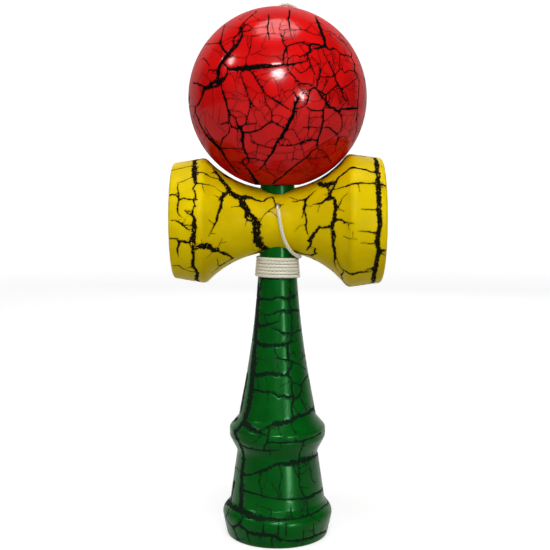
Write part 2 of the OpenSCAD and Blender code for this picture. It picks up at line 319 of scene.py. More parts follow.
def cutHole(piece, cutter):
    cut = piece.modifiers.new("hole", "BOOLEAN")
    cut.operation = "DIFFERENCE"
    cut.solver = "EXACT"
    cut.object = cutter
    bpy.ops.object.select_all(action="DESELECT")
    piece.select_set(True)
    bpy.context.view_layer.objects.active = piece
    bpy.ops.object.modifier_apply(modifier=cut.name)
    bpy.data.objects.remove(cutter)


def roundCutter(radius, farRadius, fromPlace, toPlace):
    along = Vector(toPlace) - Vector(fromPlace)
    bpy.ops.object.select_all(action="DESELECT")
    bpy.ops.mesh.primitive_cone_add(
        vertices=holeSides, radius1=radius * mm, radius2=farRadius * mm, depth=along.length * mm,
        location=(Vector(fromPlace) + Vector(toPlace)) / 2 * mm,
        rotation=along.to_track_quat("Z", "Y").to_euler(),
    )
    return bpy.context.object


# Ken: the turned handle, from its base cup to the tip of its spike
kenSizes = {
    "spacing": 0.52,  # mm between the points of the outline, as all lengths here
    "steps": 224,
    "height": 156.5,
    "tip": (3.5, 2.8),  # radius and rounding
    "spikeBase": (5.75, 119.5),  # radius and height, as below
    "neck": (6.1, 95.5),
    "gripMiddle": (8.2, 67.8, 300),  # radius, height and rounding, as below
    "gripFoot": (13.25, 41.1, 1.5),
    "ringTop": (16.35, 37.5, 1.6),
    "ringLow": (16.35, 34.3, 2),
    "groove": (13.7, 29.3, 3),
    "collar": (16.2, 12.2, 0.6),
    "baseShoulder": (19, 8.5, 3.5),
    "foot": (17.15, 0, 1),
    "cup": (14.4, 7),  # radius at the mouth and depth
    "stringHole": 0.9,  # radius
    "knotPocket": (2.2, 1.9),  # radius and distance from the axis
    "cutPast": 9,  # from the axis, outside the seat
}


def makeKen():
    s = kenSizes
    cupRadius, cupDepth = s["cup"]
    cupBall = (cupRadius**2 + cupDepth**2) / (2 * cupDepth)
    cupAngle = math.asin(cupRadius / cupBall)
    cup = arcPoints((0, cupDepth - cupBall), cupBall, math.pi / 2, math.pi / 2 - cupAngle, s["spacing"])
    corners = [(cupRadius, 0, 0), s["foot"], s["baseShoulder"], s["collar"], s["groove"], s["ringLow"]]
    corners += [s["ringTop"], s["gripFoot"], s["gripMiddle"], (*s["neck"], 0), (*s["spikeBase"], 0)]
    corners += [(s["tip"][0], s["height"], s["tip"][1]), (0, s["height"], 0)]
    outline = filledOutline(cup[:-1] + roundedOutline(corners, s["spacing"]), s["spacing"])
    piece = turnPiece("ken_handle", outline, "Z", 0, s["steps"])
    pocket, seat = s["knotPocket"]
    hole = s["stringHole"]
    cutHole(piece, roundCutter(hole, hole, (0, -s["cutPast"], stringHoleZ), (0, seat + 1, stringHoleZ)))
    cutHole(piece, roundCutter(pocket, pocket, (0, seat, stringHoleZ), (0, s["cutPast"], stringHoleZ)))
    return piece


# Cross-piece: two cups, back to back
crossSizes = {
    "spacing": 0.52,
    "steps": 264,
    "halfLength": 34.9,
    "waist": 10.5,
    "lip": 1.1,
    "crest": 2.4,
    "bigCup": (20.95, 29, 7.8, 9),  # rim radius, flare radius, taper in degrees, depth
    "smallCup": (19.3, 32.5, 9.6, 8),
    "seat": (6.15, 5.8, 12),  # radius at the bottom, radius at the top, half length
    "stringHole": 0.9,
}


def cupOutline(rim, flare, taper, depth):
    s = crossSizes
    slope = math.tan(math.radians(taper))
    stretch = math.hypot(1, slope)
    offset = rim + slope * s["halfLength"] - s["crest"] * stretch - s["waist"] - flare
    reach = flare + s["crest"]
    root = (offset * slope) ** 2 - stretch**2 * (offset**2 - reach**2)
    crestX = (offset * slope + math.sqrt(root)) / stretch**2
    crest = Vector((offset - slope * crestX + s["waist"] + flare, crestX))
    flareCentre = Vector((s["waist"] + flare, 0))
    leave = math.atan2(crest.y, crest.x - flareCentre.x)
    tilt = math.atan(slope)
    lip = Vector((rim + slope * s["lip"] - s["lip"] * stretch, s["halfLength"] - s["lip"]))
    bowl = (lip.x**2 + (depth - s["lip"]) ** 2 - s["lip"] ** 2) / (2 * depth)
    bowlCentre = Vector((0, s["halfLength"] - depth + bowl))
    toLip = math.atan2(lip.y - bowlCentre.y, lip.x)
    points = arcPoints(flareCentre, flare, math.pi, leave, s["spacing"])
    points += arcPoints(crest, s["crest"], leave - math.pi, tilt, s["spacing"])[1:]
    points += arcPoints(lip, s["lip"], tilt, toLip + math.pi, s["spacing"] / 2)
    points += arcPoints(bowlCentre, bowl, toLip, -math.pi / 2, s["spacing"])[1:]
    return points


def makeCrossPiece():
    s = crossSizes
    big = cupOutline(*s["bigCup"])
    small = [(r, -along) for r, along in cupOutline(*s["smallCup"])]
    outline = filledOutline(list(reversed(small)) + big[1:], s["spacing"])
    piece = turnPiece("cross_piece_cups", outline, "X", crossZ, s["steps"])
    low, top, half = s["seat"]
    cutHole(piece, roundCutter(low, top, (0, 0, crossZ - half), (0, 0, crossZ + half)))
    hole = s["stringHole"]
    cutHole(piece, roundCutter(hole, hole, (0, -s["waist"] - 2, stringHoleZ), (0, -1, stringHoleZ)))
    return piece


# Tama: the ball, with its tapered hole, drill point and string hole
ballSizes = {
    "spacing": 0.5,
    "steps": 300,
    "radius": 29.75,
    "mouth": 7,
    "chamfer": 0.4,
    "holeEnd": (6.25, 45.5),  # radius and depth
    "drillAngle": 59,  # degrees, half of the drill's point
    "stringHole": 1.5,
    "boreSpacing": 1.6,
    "paintDepth": 1.4,  # faces further in than this are bare wood
}


def makeBall():
    s = ballSizes
    top = math.acos(s["stringHole"] / s["radius"])
    mouth = math.acos((s["mouth"] + s["chamfer"]) / s["radius"])
    outer = arcPoints((0, 0), s["radius"], top, -mouth, s["spacing"])
    mouthZ = -math.sqrt(s["radius"] ** 2 - s["mouth"] ** 2)
    endRadius, depth = s["holeEnd"]
    endZ = depth - s["radius"]
    rise = (endRadius - s["stringHole"]) / math.tan(math.radians(s["drillAngle"]))
    inner = [(s["mouth"], mouthZ + s["chamfer"]), (endRadius, endZ), (s["stringHole"], endZ + rise)]
    bore = filledOutline([outer[-1]] + inner + [outer[0]], s["boreSpacing"])
    outline = filledOutline(outer, s["spacing"]) + bore[1:]
    return turnPiece("tama_ball", outline, "Z", ballZ, s["steps"])


# Bead inside the ball, behind which the string is knotted
beadSizes = {"radius": 3.1, "bore": 0.9, "steps": 64, "spacing": 0.25, "edge": 0.2}


def makeBead():
    s = beadSizes
    seat = (s["bore"] + s["edge"]) / s["radius"]
    outer = arcPoints((0, 0), s["radius"], math.acos(seat), -math.acos(seat), s["spacing"])
    end = s["radius"] * math.sqrt(1 - seat**2) - s["edge"] / 2
    outline = filledOutline(outer + [(s["bore"], -end), (s["bore"], end), outer[0]], s["spacing"])
    low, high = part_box("tama_bead")
    return turnPiece("string_bead", outline, "Z", (low[2] + high[2]) / 2 / mm, s["steps"])


kenHandle = makeKen()
crossPiece = makeCrossPiece()
ball = makeBall()
bead = makeBead()
print("turned pieces made:", [len(p.data.polygons) for p in (kenHandle, crossPiece, ball, bead)])


# Cracks in the paint. A crack is its widths in mm, spread evenly along it, and its points in the photograph.
# A few traced lines on the ken and the cross-piece are partly painted shade, marked where they stand
ballCracks = [
    ((0.25, 0.5, 0.8), [
        (256, 9), (256, 12.5), (250, 17), (246.5, 20), (243.5, 23), (244.5, 25.5), (240.5, 31)]),
    ((0.4, 0.5), [(243.5, 23), (240.5, 26.5), (240, 31)]),
    ((0.8, 0.5, 0.35), [(240, 31), (237, 35), (234, 38), (233, 41), (234, 44.5), (236, 46)]),
    ((0.6, 0.9, 1.3, 1.3, 1.2, 0.9, 0.7), [
        (242, 32), (241.5, 36), (240.5, 39.5), (237.5, 44), (234, 48), (230, 51.5), (226.5, 55.5),
        (223.5, 60), (220, 65), (218.5, 70), (218, 76), (218.5, 81)]),
    ((0.35, 0.45), [(224, 63), (227, 67), (230, 69)]),
    ((0.5, 1.2, 1.25, 1.1, 0.9, 0.6, 0.6, 0.4, 0.2), [
        (229.5, 69), (236, 69), (245, 68.3), (256, 67), (266, 65.7), (276, 66), (283, 64.5), (290, 64.5),
        (296, 63.5), (303, 62), (308, 60.5)]),
    ((0.4, 0.6, 0.9), [(227, 67), (227.5, 71), (226.5, 75), (223, 80)]),
    ((1.0, 1.2, 1.0, 1.3, 1.1, 0.9, 0.8, 0.5), [
        (224, 79), (220, 82.5), (215, 81.5), (211.5, 83.5), (209, 87), (205, 88.5), (203, 92), (202, 96),
        (200.5, 100), (199, 103.5), (196.5, 106)]),
    ((0.6, 0.5, 0.7), [(220.5, 84), (217, 87), (212, 87.5), (208, 87.5)]),
    ((0.35, 0.6), [(193, 83), (197, 83.5), (201, 85), (204, 87.5)]),
    ((0.5, 0.7, 0.7, 0.6, 0.5, 0.45), [
        (221, 85), (222, 90), (224, 96), (226, 102), (227.5, 108), (229, 114), (229, 119), (230, 123),
        (232.5, 127), (236, 128.7), (239, 128.5)]),
    ((0.4, 0.45, 0.6), [(229, 114), (232, 115), (235.5, 118), (236.5, 122), (238, 126), (240, 128)]),
    ((0.8, 0.95, 0.8, 0.7, 0.55), [
        (239.5, 127), (241.5, 131), (243, 136), (242.5, 142), (243.5, 148), (246, 153.5), (248, 158)]),
    ((0.45, 0.25), [(248, 158), (249, 161), (247, 165)]),
    ((0.35, 0.45), [(249, 158), (244.5, 159), (242.5, 161)]),
    ((0.45, 0.6, 0.9, 1.3, 1.4), [
        (242.5, 161), (243, 164), (247, 168), (251, 173), (254, 178), (256.5, 183), (258, 187)]),
    ((0.5, 0.6, 0.8, 0.9, 1.1, 1.1, 0.9, 0.6), [
        (195, 106), (195.5, 112), (197.5, 118), (200, 124), (203, 129.5), (206, 135), (210, 140),
        (214.5, 144), (219, 147.5), (222, 152), (226, 158.5), (230, 164.5), (234.5, 170.5), (238, 174)]),
    ((0.3, 0.5, 0.5), [(205, 127), (208, 132), (211, 137), (215, 142)]),
    ((0.3, 0.3), [(195, 108), (194, 116), (196, 125), (200, 132)]),
    ((0.3, 0.5, 0.7, 0.9, 0.9, 0.9, 0.8, 0.7, 0.7, 0.55, 0.35, 0.15), [
        (293, 90), (295, 94), (297.5, 98), (297, 102), (295, 105), (294, 110), (293.5, 115), (291, 119),
        (288.5, 124), (286.5, 129), (283, 134), (280, 139), (276.5, 143), (274.5, 148), (271.5, 154),
        (266.5, 160), (264, 165), (260, 169), (254, 172)]),
    ((0.35, 0.9, 1.05, 1.0, 0.9, 0.8), [
        (315.5, 16.5), (318, 22), (320, 28), (322.5, 34), (324.5, 40), (325.5, 45), (327, 48)]),
    ((0.9, 0.7, 0.25), [(325.5, 46), (322, 47), (317, 48.3), (312.5, 49)]),
    ((0.35, 0.6, 0.7, 0.7, 0.4, 0.2), [
        (320, 44.7), (315, 44), (311.5, 44), (309.5, 45.5), (310, 49), (311, 51.5), (307, 54), (302, 56),
        (299, 57.5)]),
    ((0.5, 0.45, 0.25), [(307.5, 54), (308.5, 58), (310, 63), (311.5, 67), (313, 71), (315.5, 74.5)]),
    ((0.6, 0.45, 0.4, 0.45, 0.45), [
        (327, 48), (330, 50), (333, 48), (337, 50), (340, 53), (344, 55.5), (347, 55), (350, 56), (352, 59),
        (354, 62.5), (355, 66), (354.5, 71)]),
    ((0.4, 0.45, 0.45, 0.4, 0.5), [
        (354.5, 71), (357, 75), (359, 79), (359, 86), (358.5, 95), (357.5, 105), (357, 114), (357, 122),
        (356.5, 130), (354.5, 137), (352, 143)]),
    ((0.3, 0.4, 0.6, 0.6), [
        (225, 24), (223.5, 29), (222, 36), (220.5, 42), (221, 46), (223.5, 50), (226.5, 52.5)]),
    ((0.5, 0.5, 0.25, 0.2), [
        (289.5, 10), (289.5, 14), (288.5, 19), (289.5, 24), (290, 30), (291, 35), (293, 39)]),
    ((0.2, 0.45, 0.4, 0.3), [(268.5, 14), (269, 20), (268, 25), (267.7, 30), (268.5, 35), (269, 39.5)]),
    ((0.35, 0.4, 0.35, 0.4, 0.5), [
        (283.5, 61), (284, 54), (285, 49.5), (287, 46.5), (291, 44.5), (297, 43), (303, 42), (307, 45),
        (310, 46)]),
    ((0.2, 0.35), [(280, 33), (282, 38.5), (283, 43), (286, 47)]),
    ((0.2, 0.2), [(282.5, 38), (284.2, 34), (284.3, 30.5)]),
    ((0.2, 0.2), [(279, 29), (280, 26), (281, 22), (283.5, 20)]),
    ((0.3, 0.35, 0.5, 0.6, 0.5, 0.25), [
        (322, 48), (324, 53), (327, 59), (330, 65), (333, 71), (334.5, 76), (337, 82.5), (341, 89), (343, 95),
        (345.5, 101)]),
    ((0.5, 0.5, 0.4, 0.5, 0.35, 0.2), [
        (320, 70), (320, 76), (317.5, 81), (318, 85), (315.5, 88), (311, 89), (309.5, 92), (308.5, 98),
        (307, 103), (305, 106), (300, 108), (295.5, 108.5)]),
    ((0.3, 0.2), [(319.8, 70), (319, 65.5), (316, 61), (312, 57)]),
    ((0.35, 0.5, 0.7, 0.65, 0.6, 0.4, 0.3), [
        (315, 88), (318, 91), (320, 95), (323, 98.5), (326, 100), (327, 104), (330, 107.5), (333, 107.5),
        (336, 110), (339.5, 112), (340.5, 115), (342, 119), (342.5, 123), (341.5, 128), (340, 131)]),
    ((0.35, 0.7, 0.55), [(340, 109), (346, 109), (351, 108.5), (358, 108.5)]),
    ((0.4, 0.35), [(318, 90), (322, 93), (326, 95.5), (326, 100)]),
    ((0.4, 0.4), [(326, 95.5), (330, 91), (334, 88), (338, 84)]),
    ((0.4, 0.25), [(341, 89), (345, 87), (349, 85), (353, 81), (356, 79)]),
    ((0.3, 0.6, 0.65, 0.55, 0.5, 0.5), [
        (325, 105), (323.5, 110), (323.5, 116), (323, 122), (322, 128), (320.5, 133), (318, 138),
        (317.5, 143), (317, 148)]),
    ((0.4, 0.5, 0.5, 0.5, 0.7), [
        (317, 148), (311, 152), (306, 158), (299, 163), (290, 170), (283, 176), (276, 181), (273, 184),
        (272, 188)]),
    ((0.3, 0.4, 0.4), [(305, 105.5), (310, 110), (317, 111), (324, 110.5)]),
    ((0.3, 0.5, 0.5, 0.35), [
        (325, 127), (330, 128), (333, 131), (337, 134), (338.5, 137), (337.5, 141), (336, 146)]),
    ((0.25, 0.2), [(338.5, 138), (344, 136), (346.5, 138.5), (350, 134)]),
    ((0.3, 0.35, 0.3), [(251, 141), (253, 143), (257, 144), (263, 146), (270, 147.7), (275, 147.5)]),
    ((0.3, 0.35, 0.4), [(279, 145), (288, 146), (295, 145), (301, 143), (308, 140), (314, 140), (318, 141)]),
    ((0.45, 0.45, 0.5, 0.45, 0.3), [
        (243.5, 132.5), (250, 132.5), (256, 131), (261, 129), (263, 127), (267, 124), (271, 122), (275, 123),
        (280, 126), (286.5, 129)]),
    ((0.5, 0.35, 0.3), [(240, 127), (244, 125), (250, 124), (256.5, 123.5)]),
    ((0.3, 0.3), [(245, 124.5), (247, 118), (249, 112), (250, 102)]),
    ((0.2, 0.35, 0.35, 0.15), [
        (240.5, 72), (243, 82), (245.5, 88), (248, 95), (250, 101), (253, 105), (258, 109)]),
    ((0.5, 0.45, 0.45, 0.3), [
        (249, 70.5), (252, 72.5), (254, 75.5), (257, 81), (261, 87), (266, 94), (271, 98), (277, 101),
        (282, 105), (289, 109.5)]),
    ((0.25, 0.3, 0.3), [(265, 94), (265, 100), (268, 106), (271.5, 110), (271.5, 116), (272, 122)]),
    ((0.2, 0.15), [(271.5, 110), (276, 107), (279, 104)]),
    ((0.35, 0.3, 0.2), [(241, 31.5), (250, 30.5), (255, 28.5), (262, 27), (269, 26)]),
    ((0.2, 0.25, 0.2), [(242.5, 36), (250, 36), (257, 36), (262, 34), (268, 33.5), (277, 34)]),
    ((0.2, 0.3, 0.2), [(279, 30), (290, 29.5), (303, 30), (309, 32), (314, 34.5), (322, 36)]),
    ((0.2, 0.25), [(251, 37), (251, 46), (249, 53), (246, 59), (246, 65)]),
    ((0.15, 0.15), [(251, 55), (254, 54), (259, 51), (266, 48)]),
    ((0.2, 0.3), [(205, 44.5), (213, 43.5), (220, 43.5)]),
    ((0.3, 0.45), [(208, 70), (214, 70), (218, 70)]),
    ((0.3, 0.25), [(201, 60), (203.5, 58), (207, 61.5), (209.5, 66)]),
    ((0.2, 0.25), [(225, 40.5), (231, 37.5), (235, 36.5)]),
    ((0.2, 0.25, 0.2), [(244.5, 25), (249, 25.5), (252, 28), (248.5, 30.5)]),
    ((0.25, 0.45, 0.35, 0.3), [
        (287, 68), (292, 75), (297, 80), (300.5, 83.5), (305, 83.5), (310, 84), (314, 87.5)]),
    ((0.25, 0.35), [(296, 80), (298.5, 86), (303, 91), (308, 96)]),
    ((0.25, 0.2), [(293, 65), (297, 70), (301, 73), (307, 70), (310, 66)]),
    ((0.2, 0.2), [(287, 63), (289, 58.5), (292, 56), (297, 55), (300.5, 57)]),
    ((0.2, 0.25), [(331, 51), (333, 57), (334, 62), (332, 67)]),
    ((0.25, 0.3), [(340, 53.5), (339.5, 62), (340, 69), (337, 73), (334.5, 76)]),
    ((0.2, 0.2), [(341, 69), (345, 73), (348, 70.5), (354, 71)]),
    ((0.2, 0.3, 0.3), [
        (322, 30), (327, 31), (332, 33), (336, 36), (340, 40), (345, 43), (349, 49), (352, 54), (351, 57)]),
    ((0.25, 0.3), [(320.5, 76.7), (327, 77.3), (334, 76.3)]),
    ((0.2, 0.25), [(346, 95), (348, 100), (349, 108)]),
    ((0.3, 0.4), [(221, 124.5), (226, 122.5), (230, 122)]),
    ((0.3, 0.4, 0.4), [(230, 128), (228, 134), (223, 138), (221, 143), (219.5, 148)]),
    ((0.35, 0.3), [(223, 148.5), (231, 148), (242, 149)]),
    ((0.3, 0.35), [(232, 162), (238, 162), (243, 163)]),
    ((0.35, 0.3), [(248, 158.5), (256, 159), (263, 160.5)]),
    ((0.25, 0.2), [(265, 164), (269, 172), (275, 177), (280, 179)]),
    ((0.25, 0.3), [(303, 127.5), (312, 127), (321.5, 128)]),
    ((0.25, 0.15), [(310, 111), (309, 118), (308.5, 128), (308.5, 138)]),
    ((0.15, 0.25, 0.2), [(287, 128.5), (294, 130), (297, 136), (302, 142)]),
    ((0.2, 0.15), [(283, 138), (289, 140.5), (292, 145)]),
    ((0.2, 0.15), [(258, 144.5), (256.5, 152), (255.5, 159)]),
    ((0.2, 0.2), [(250.5, 133), (251, 141), (253, 143)]),
    ((0.2, 0.15), [(300, 143), (303, 150), (304.5, 158)]),
    ((0.2, 0.15), [(295, 145), (294, 153), (292, 162)]),
    ((0.3, 0.2), [(318, 148.5), (323, 151), (327, 156), (331, 163)]),
    ((0.2, 0.2), [(306, 158), (315, 159), (322, 157), (329, 158)]),
]
crossCracksAndShade = [
    ((0.9, 1.3, 1.5, 1.3, 0.6), [
        (194, 158.5), (195, 164), (194.3, 170), (194.5, 175), (195, 179), (194.5, 182)]),
    ((0.5, 0.6, 0.4), [(196, 180), (197, 183), (194, 186.5), (192.8, 189.5)]),
    ((0.4, 0.6, 0.5), [(194.5, 190.5), (195.5, 195), (195.5, 199.5)]),
    ((0.4, 0.4), [(193.3, 200.5), (194.5, 204), (195.7, 206)]),
    ((0.4, 0.6, 0.6, 1.0, 1.1, 1.2, 1.2, 0.8), [
        (194, 206), (192.8, 211), (192, 214.5), (194, 218), (194.3, 223), (194.5, 228), (194, 233),
        (192.8, 238), (194.5, 243.5)]),
    ((0.7, 0.9, 0.8, 0.9, 0.9, 0.9, 1.2), [
        (192.7, 247), (193, 252), (193.7, 257), (192.5, 262.5), (193, 266), (196, 270.5), (197.7, 273),
        (197, 276), (196.5, 280)]),
    ((0.3, 0.4, 0.2), [(171.5, 170.5), (176, 169.5), (182, 168), (187, 167), (191, 166), (199, 167)]),
    ((0.15, 0.25, 0.15), [(177, 183), (183, 181.5), (188, 179), (192, 177)]),
    ((0.25, 0.5, 0.6, 0.5, 0.15), [
        (178, 184), (177.5, 189), (178.5, 194), (178.7, 198.5), (178.3, 202), (177.5, 207), (177.5, 212),
        (179, 215), (182, 217.5)]),
    ((0.5, 0.4), [(170, 195), (173, 194.5), (176, 195.5), (178.5, 197.5)]),
    ((0.5, 0.4, 0.4), [(179, 199.5), (182, 199), (184, 197.7), (186, 199), (190, 199.5), (197, 199.5)]),
    ((0.5, 0.35, 0.12), [(196.5, 183.5), (202, 183.5), (207, 184.5), (214, 186.5)]),
    ((0.35, 0.6, 0.3), [(197, 172.5), (203, 172.5), (207, 174.5), (212, 177.5), (218, 178.7)]),
    ((0.3, 0.6), [(211, 173.2), (214, 172.3), (216.5, 174), (219.5, 177.5)]),
    # this crack begins in the ball's shadow on the cross-piece: its upper left start is painted shadow
    ((0.9, 1.2, 1.4, 1.5, 1.5, 1.4, 1.1, 0.6, 0.6, 0.4), [
        (213, 168), (219, 176), (221.5, 179.5), (224, 183), (227.5, 187), (229.5, 190.5), (233, 194),
        (237, 196.7), (241, 197.5), (246, 197), (251, 197.5), (256, 200), (262, 201.3), (265, 200.5),
        (267, 198.3), (271, 197)]),
    ((0.9, 1.0, 0.9, 0.8, 0.5, 0.12), [
        (228.5, 191.5), (225, 194.5), (222.3, 197.5), (221.7, 202), (221, 207), (219, 211.5), (217.5, 216),
        (217, 220.5), (214.5, 225), (212, 230), (208.5, 236.5)]),
    ((0.5, 0.6), [(223, 192.5), (222.5, 197)]),
    ((0.12, 0.25), [(214, 195), (218, 197), (221, 198.3)]),
    ((1.2, 1.4, 1.5, 1.3), [(241.5, 198), (241.5, 202), (243.5, 206.5), (247.5, 209.5), (248, 213)]),
    ((0.9, 0.7, 0.5), [(246, 211), (245.5, 217), (248.5, 220), (253, 221.5)]),
    ((0.8, 1.2, 2.0, 2.1, 2.1, 2.1, 1.9, 1.5), [
        (250.5, 214), (253.5, 217.5), (256.5, 222), (256.8, 228), (256.5, 234), (257, 239), (259, 243.5),
        (262, 246.7), (267, 249)]),
    ((0.3, 0.5), [(244.5, 198), (245.5, 203), (248, 207)]),
    ((0.12, 0.25), [(231, 207), (236, 206.5), (241, 206.7)]),
    ((0.15, 0.3), [(261.5, 218.5), (266, 213), (271, 209), (274.5, 206.5)]),
    ((0.5, 0.35), [(273, 197.5), (274.5, 201), (275.3, 204)]),
    ((0.5, 0.5, 0.2), [(278, 203), (279.2, 205.8), (283.5, 204.7)]),
    ((0.15, 0.4, 0.7, 0.9, 0.8, 0.7), [
        (316, 190), (311, 194.5), (306.5, 198.5), (305, 202), (305, 206), (304, 210)]),
    ((0.5, 0.4, 0.2), [(303, 208), (303.5, 212.5), (301.7, 217.5)]),
    ((0.4, 0.5, 0.55, 0.5, 0.12), [
        (304.5, 211), (305.8, 215), (306, 219), (306.5, 223), (306, 228), (307, 232), (309, 236.5)]),
    ((0.15, 0.5, 0.7), [(291.5, 202.2), (297, 201.5), (300, 200), (305, 199.7)]),
    ((0.15, 0.3), [(289, 197.3), (297, 200)]),
    ((1.2, 1.6, 1.3), [(319, 183), (323, 185), (327, 184.5), (331, 183.5), (335, 183)]),
    ((0.8, 0.8, 0.8, 0.7, 0.6, 0.7, 0.7), [
        (335, 183), (337, 180), (339, 177), (342, 174.5), (346, 172), (348.5, 169.3), (352.5, 167),
        (357, 168), (362, 169), (366, 169.5), (369.5, 171.3), (374, 172.3), (377, 171)]),
    ((0.7, 1.0, 1.3), [(335, 185), (333, 188), (331, 191), (329.5, 195), (329, 198.5)]),
    ((0.6, 0.4), [(327, 186), (328.5, 191)]),
    ((1.0, 0.7, 0.12), [(329, 198.5), (325, 200), (321, 203), (313, 204.5)]),
    ((1.0, 1.0, 1.0, 1.2, 1.2, 1.1, 1.3, 1.0, 1.0, 0.8, 0.3, 0.12), [
        (329, 198.3), (333, 198), (335, 201), (335, 205), (335.7, 209), (334.5, 213), (334.5, 218),
        (333, 223), (331.5, 227), (331.7, 230), (333.7, 234), (333.5, 238), (333, 243), (334, 248),
        (335, 253), (334.5, 258), (334, 262), (335.5, 267), (338, 271.5)]),
    ((0.2, 0.5, 0.6, 0.5, 0.4), [
        (335, 189.5), (341, 187.5), (347, 186), (352, 184), (357, 183.5), (363, 183), (370, 183.5),
        (375, 183)]),
    ((0.6, 0.6), [(380, 185), (382.5, 184.5), (385.5, 186)]),
    ((0.15, 0.3, 0.6), [(348, 193), (344, 196), (341.5, 199), (340, 204), (336.5, 208.5)]),
    ((0.25, 0.12), [(339, 209), (344, 211.5)]),
    ((0.6, 0.6, 0.3), [(336, 219), (341, 220), (345.5, 222)]),
    ((0.3, 0.45, 0.12), [(343.5, 223.5), (348, 222.5), (354, 223.7)]),
    ((0.8, 0.6, 0.7, 0.9, 0.9), [
        (331, 226.7), (327, 227), (323, 228), (319, 227), (316.5, 231), (314, 234), (311, 238), (309, 241)]),
    ((0.7, 0.8, 0.3), [(311.5, 241.5), (310, 246), (306.5, 250.5)]),
    ((0.5, 0.7), [(315.3, 248.5), (314.5, 252.5)]),
    ((0.5, 0.7), [(316.5, 253.3), (311, 255.5)]),
    ((0.12, 0.35, 0.35), [(361, 209), (368, 209.5), (377, 210)]),
    ((0.12, 0.4, 0.5), [(358, 231), (364, 231.5), (370, 232), (374, 233), (378, 232.5)]),
    ((0.12, 0.2, 0.12), [(343, 236), (349, 238.5), (357, 239.5)]),
    ((0.15, 0.3, 0.5), [(361, 243), (366, 243), (371, 244), (377, 243.5)]),
    ((0.9, 0.7), [(379, 251), (385, 250.5)]),
    ((0.2, 0.5, 0.8, 1.0, 0.8, 0.6), [
        (338, 264), (341.5, 268.7), (345, 271), (349, 273.5), (353, 274.3), (359, 272.5), (368, 272)]),
    ((0.5, 0.9), [(367, 269.5), (371, 268.5), (376, 269.5)]),
    ((0.5, 0.7, 0.5), [(343.5, 272), (341, 275), (342.5, 279.5)]),
    ((0.4, 0.5), [(170, 238.5), (177.5, 238.8)]),
    ((0.6, 0.8, 0.8, 0.9), [(178, 241.3), (182, 241), (186, 242.5), (189, 242.5), (191, 240.7), (194, 239)]),
    ((0.6, 0.5, 0.5, 0.2), [(178.7, 241.5), (179, 244), (177.5, 247), (177.5, 252), (178.5, 257)]),
    ((0.35, 0.5, 0.6), [(189.5, 243), (190.5, 246), (193, 248.5), (197.5, 249)]),
    ((0.6, 1.1, 1.4, 1.4, 1.2, 1.0), [
        (196.5, 246.5), (202, 246.3), (206, 245.7), (209.5, 246.7), (212, 249.5), (216, 251.3)]),
    ((0.4, 0.7, 0.9, 0.8, 0.5), [
        (217.5, 247.5), (219.5, 252), (223, 253), (227, 254.5), (230, 256), (233, 258.3)]),
    ((0.3, 0.12), [(218, 247.5), (220, 243), (222.3, 238.5)]),
    ((0.2, 0.35, 0.3, 0.2), [(173, 266), (177, 265.5), (180, 266), (182, 268.5), (187, 270.5), (193, 272)]),
    ((0.2, 0.3), [(187, 268), (191, 267.5), (194, 268)]),
    ((0.2, 0.3), [(217, 259), (218, 263), (218, 265.7), (224, 264)]),
    ((0.5, 0.5, 0.4), [(233, 258), (226, 262), (219, 267), (212, 273)]),
    ((0.4, 0.6, 0.2), [(176.5, 221), (180, 223), (184, 226), (188, 229.5), (190.5, 230)]),
    ((0.25, 0.25), [(171, 220.5), (176, 220)]),
    ((0.2, 0.25), [(184, 210), (187, 213), (191.5, 215.5)]),
    ((1.0, 0.6, 0.4), [(265, 249), (258, 252), (249, 255)]),
    ((0.5, 0.7, 0.6), [(287, 249), (294, 251), (304, 254), (312, 256)]),
]
bigRingCrack = ((1.2,), [
    (374.5, 157), (376.5, 162), (377, 166), (377, 171), (378.5, 176), (377.5, 180), (378, 185), (378.5, 190),
    (378.5, 196), (379, 203), (379.5, 210), (379.5, 217), (380, 224), (379, 230), (378, 236), (377, 242),
    (378.5, 248), (378.5, 253), (377, 258), (376.5, 264), (375.5, 269), (374, 275), (373.5, 283.5)])
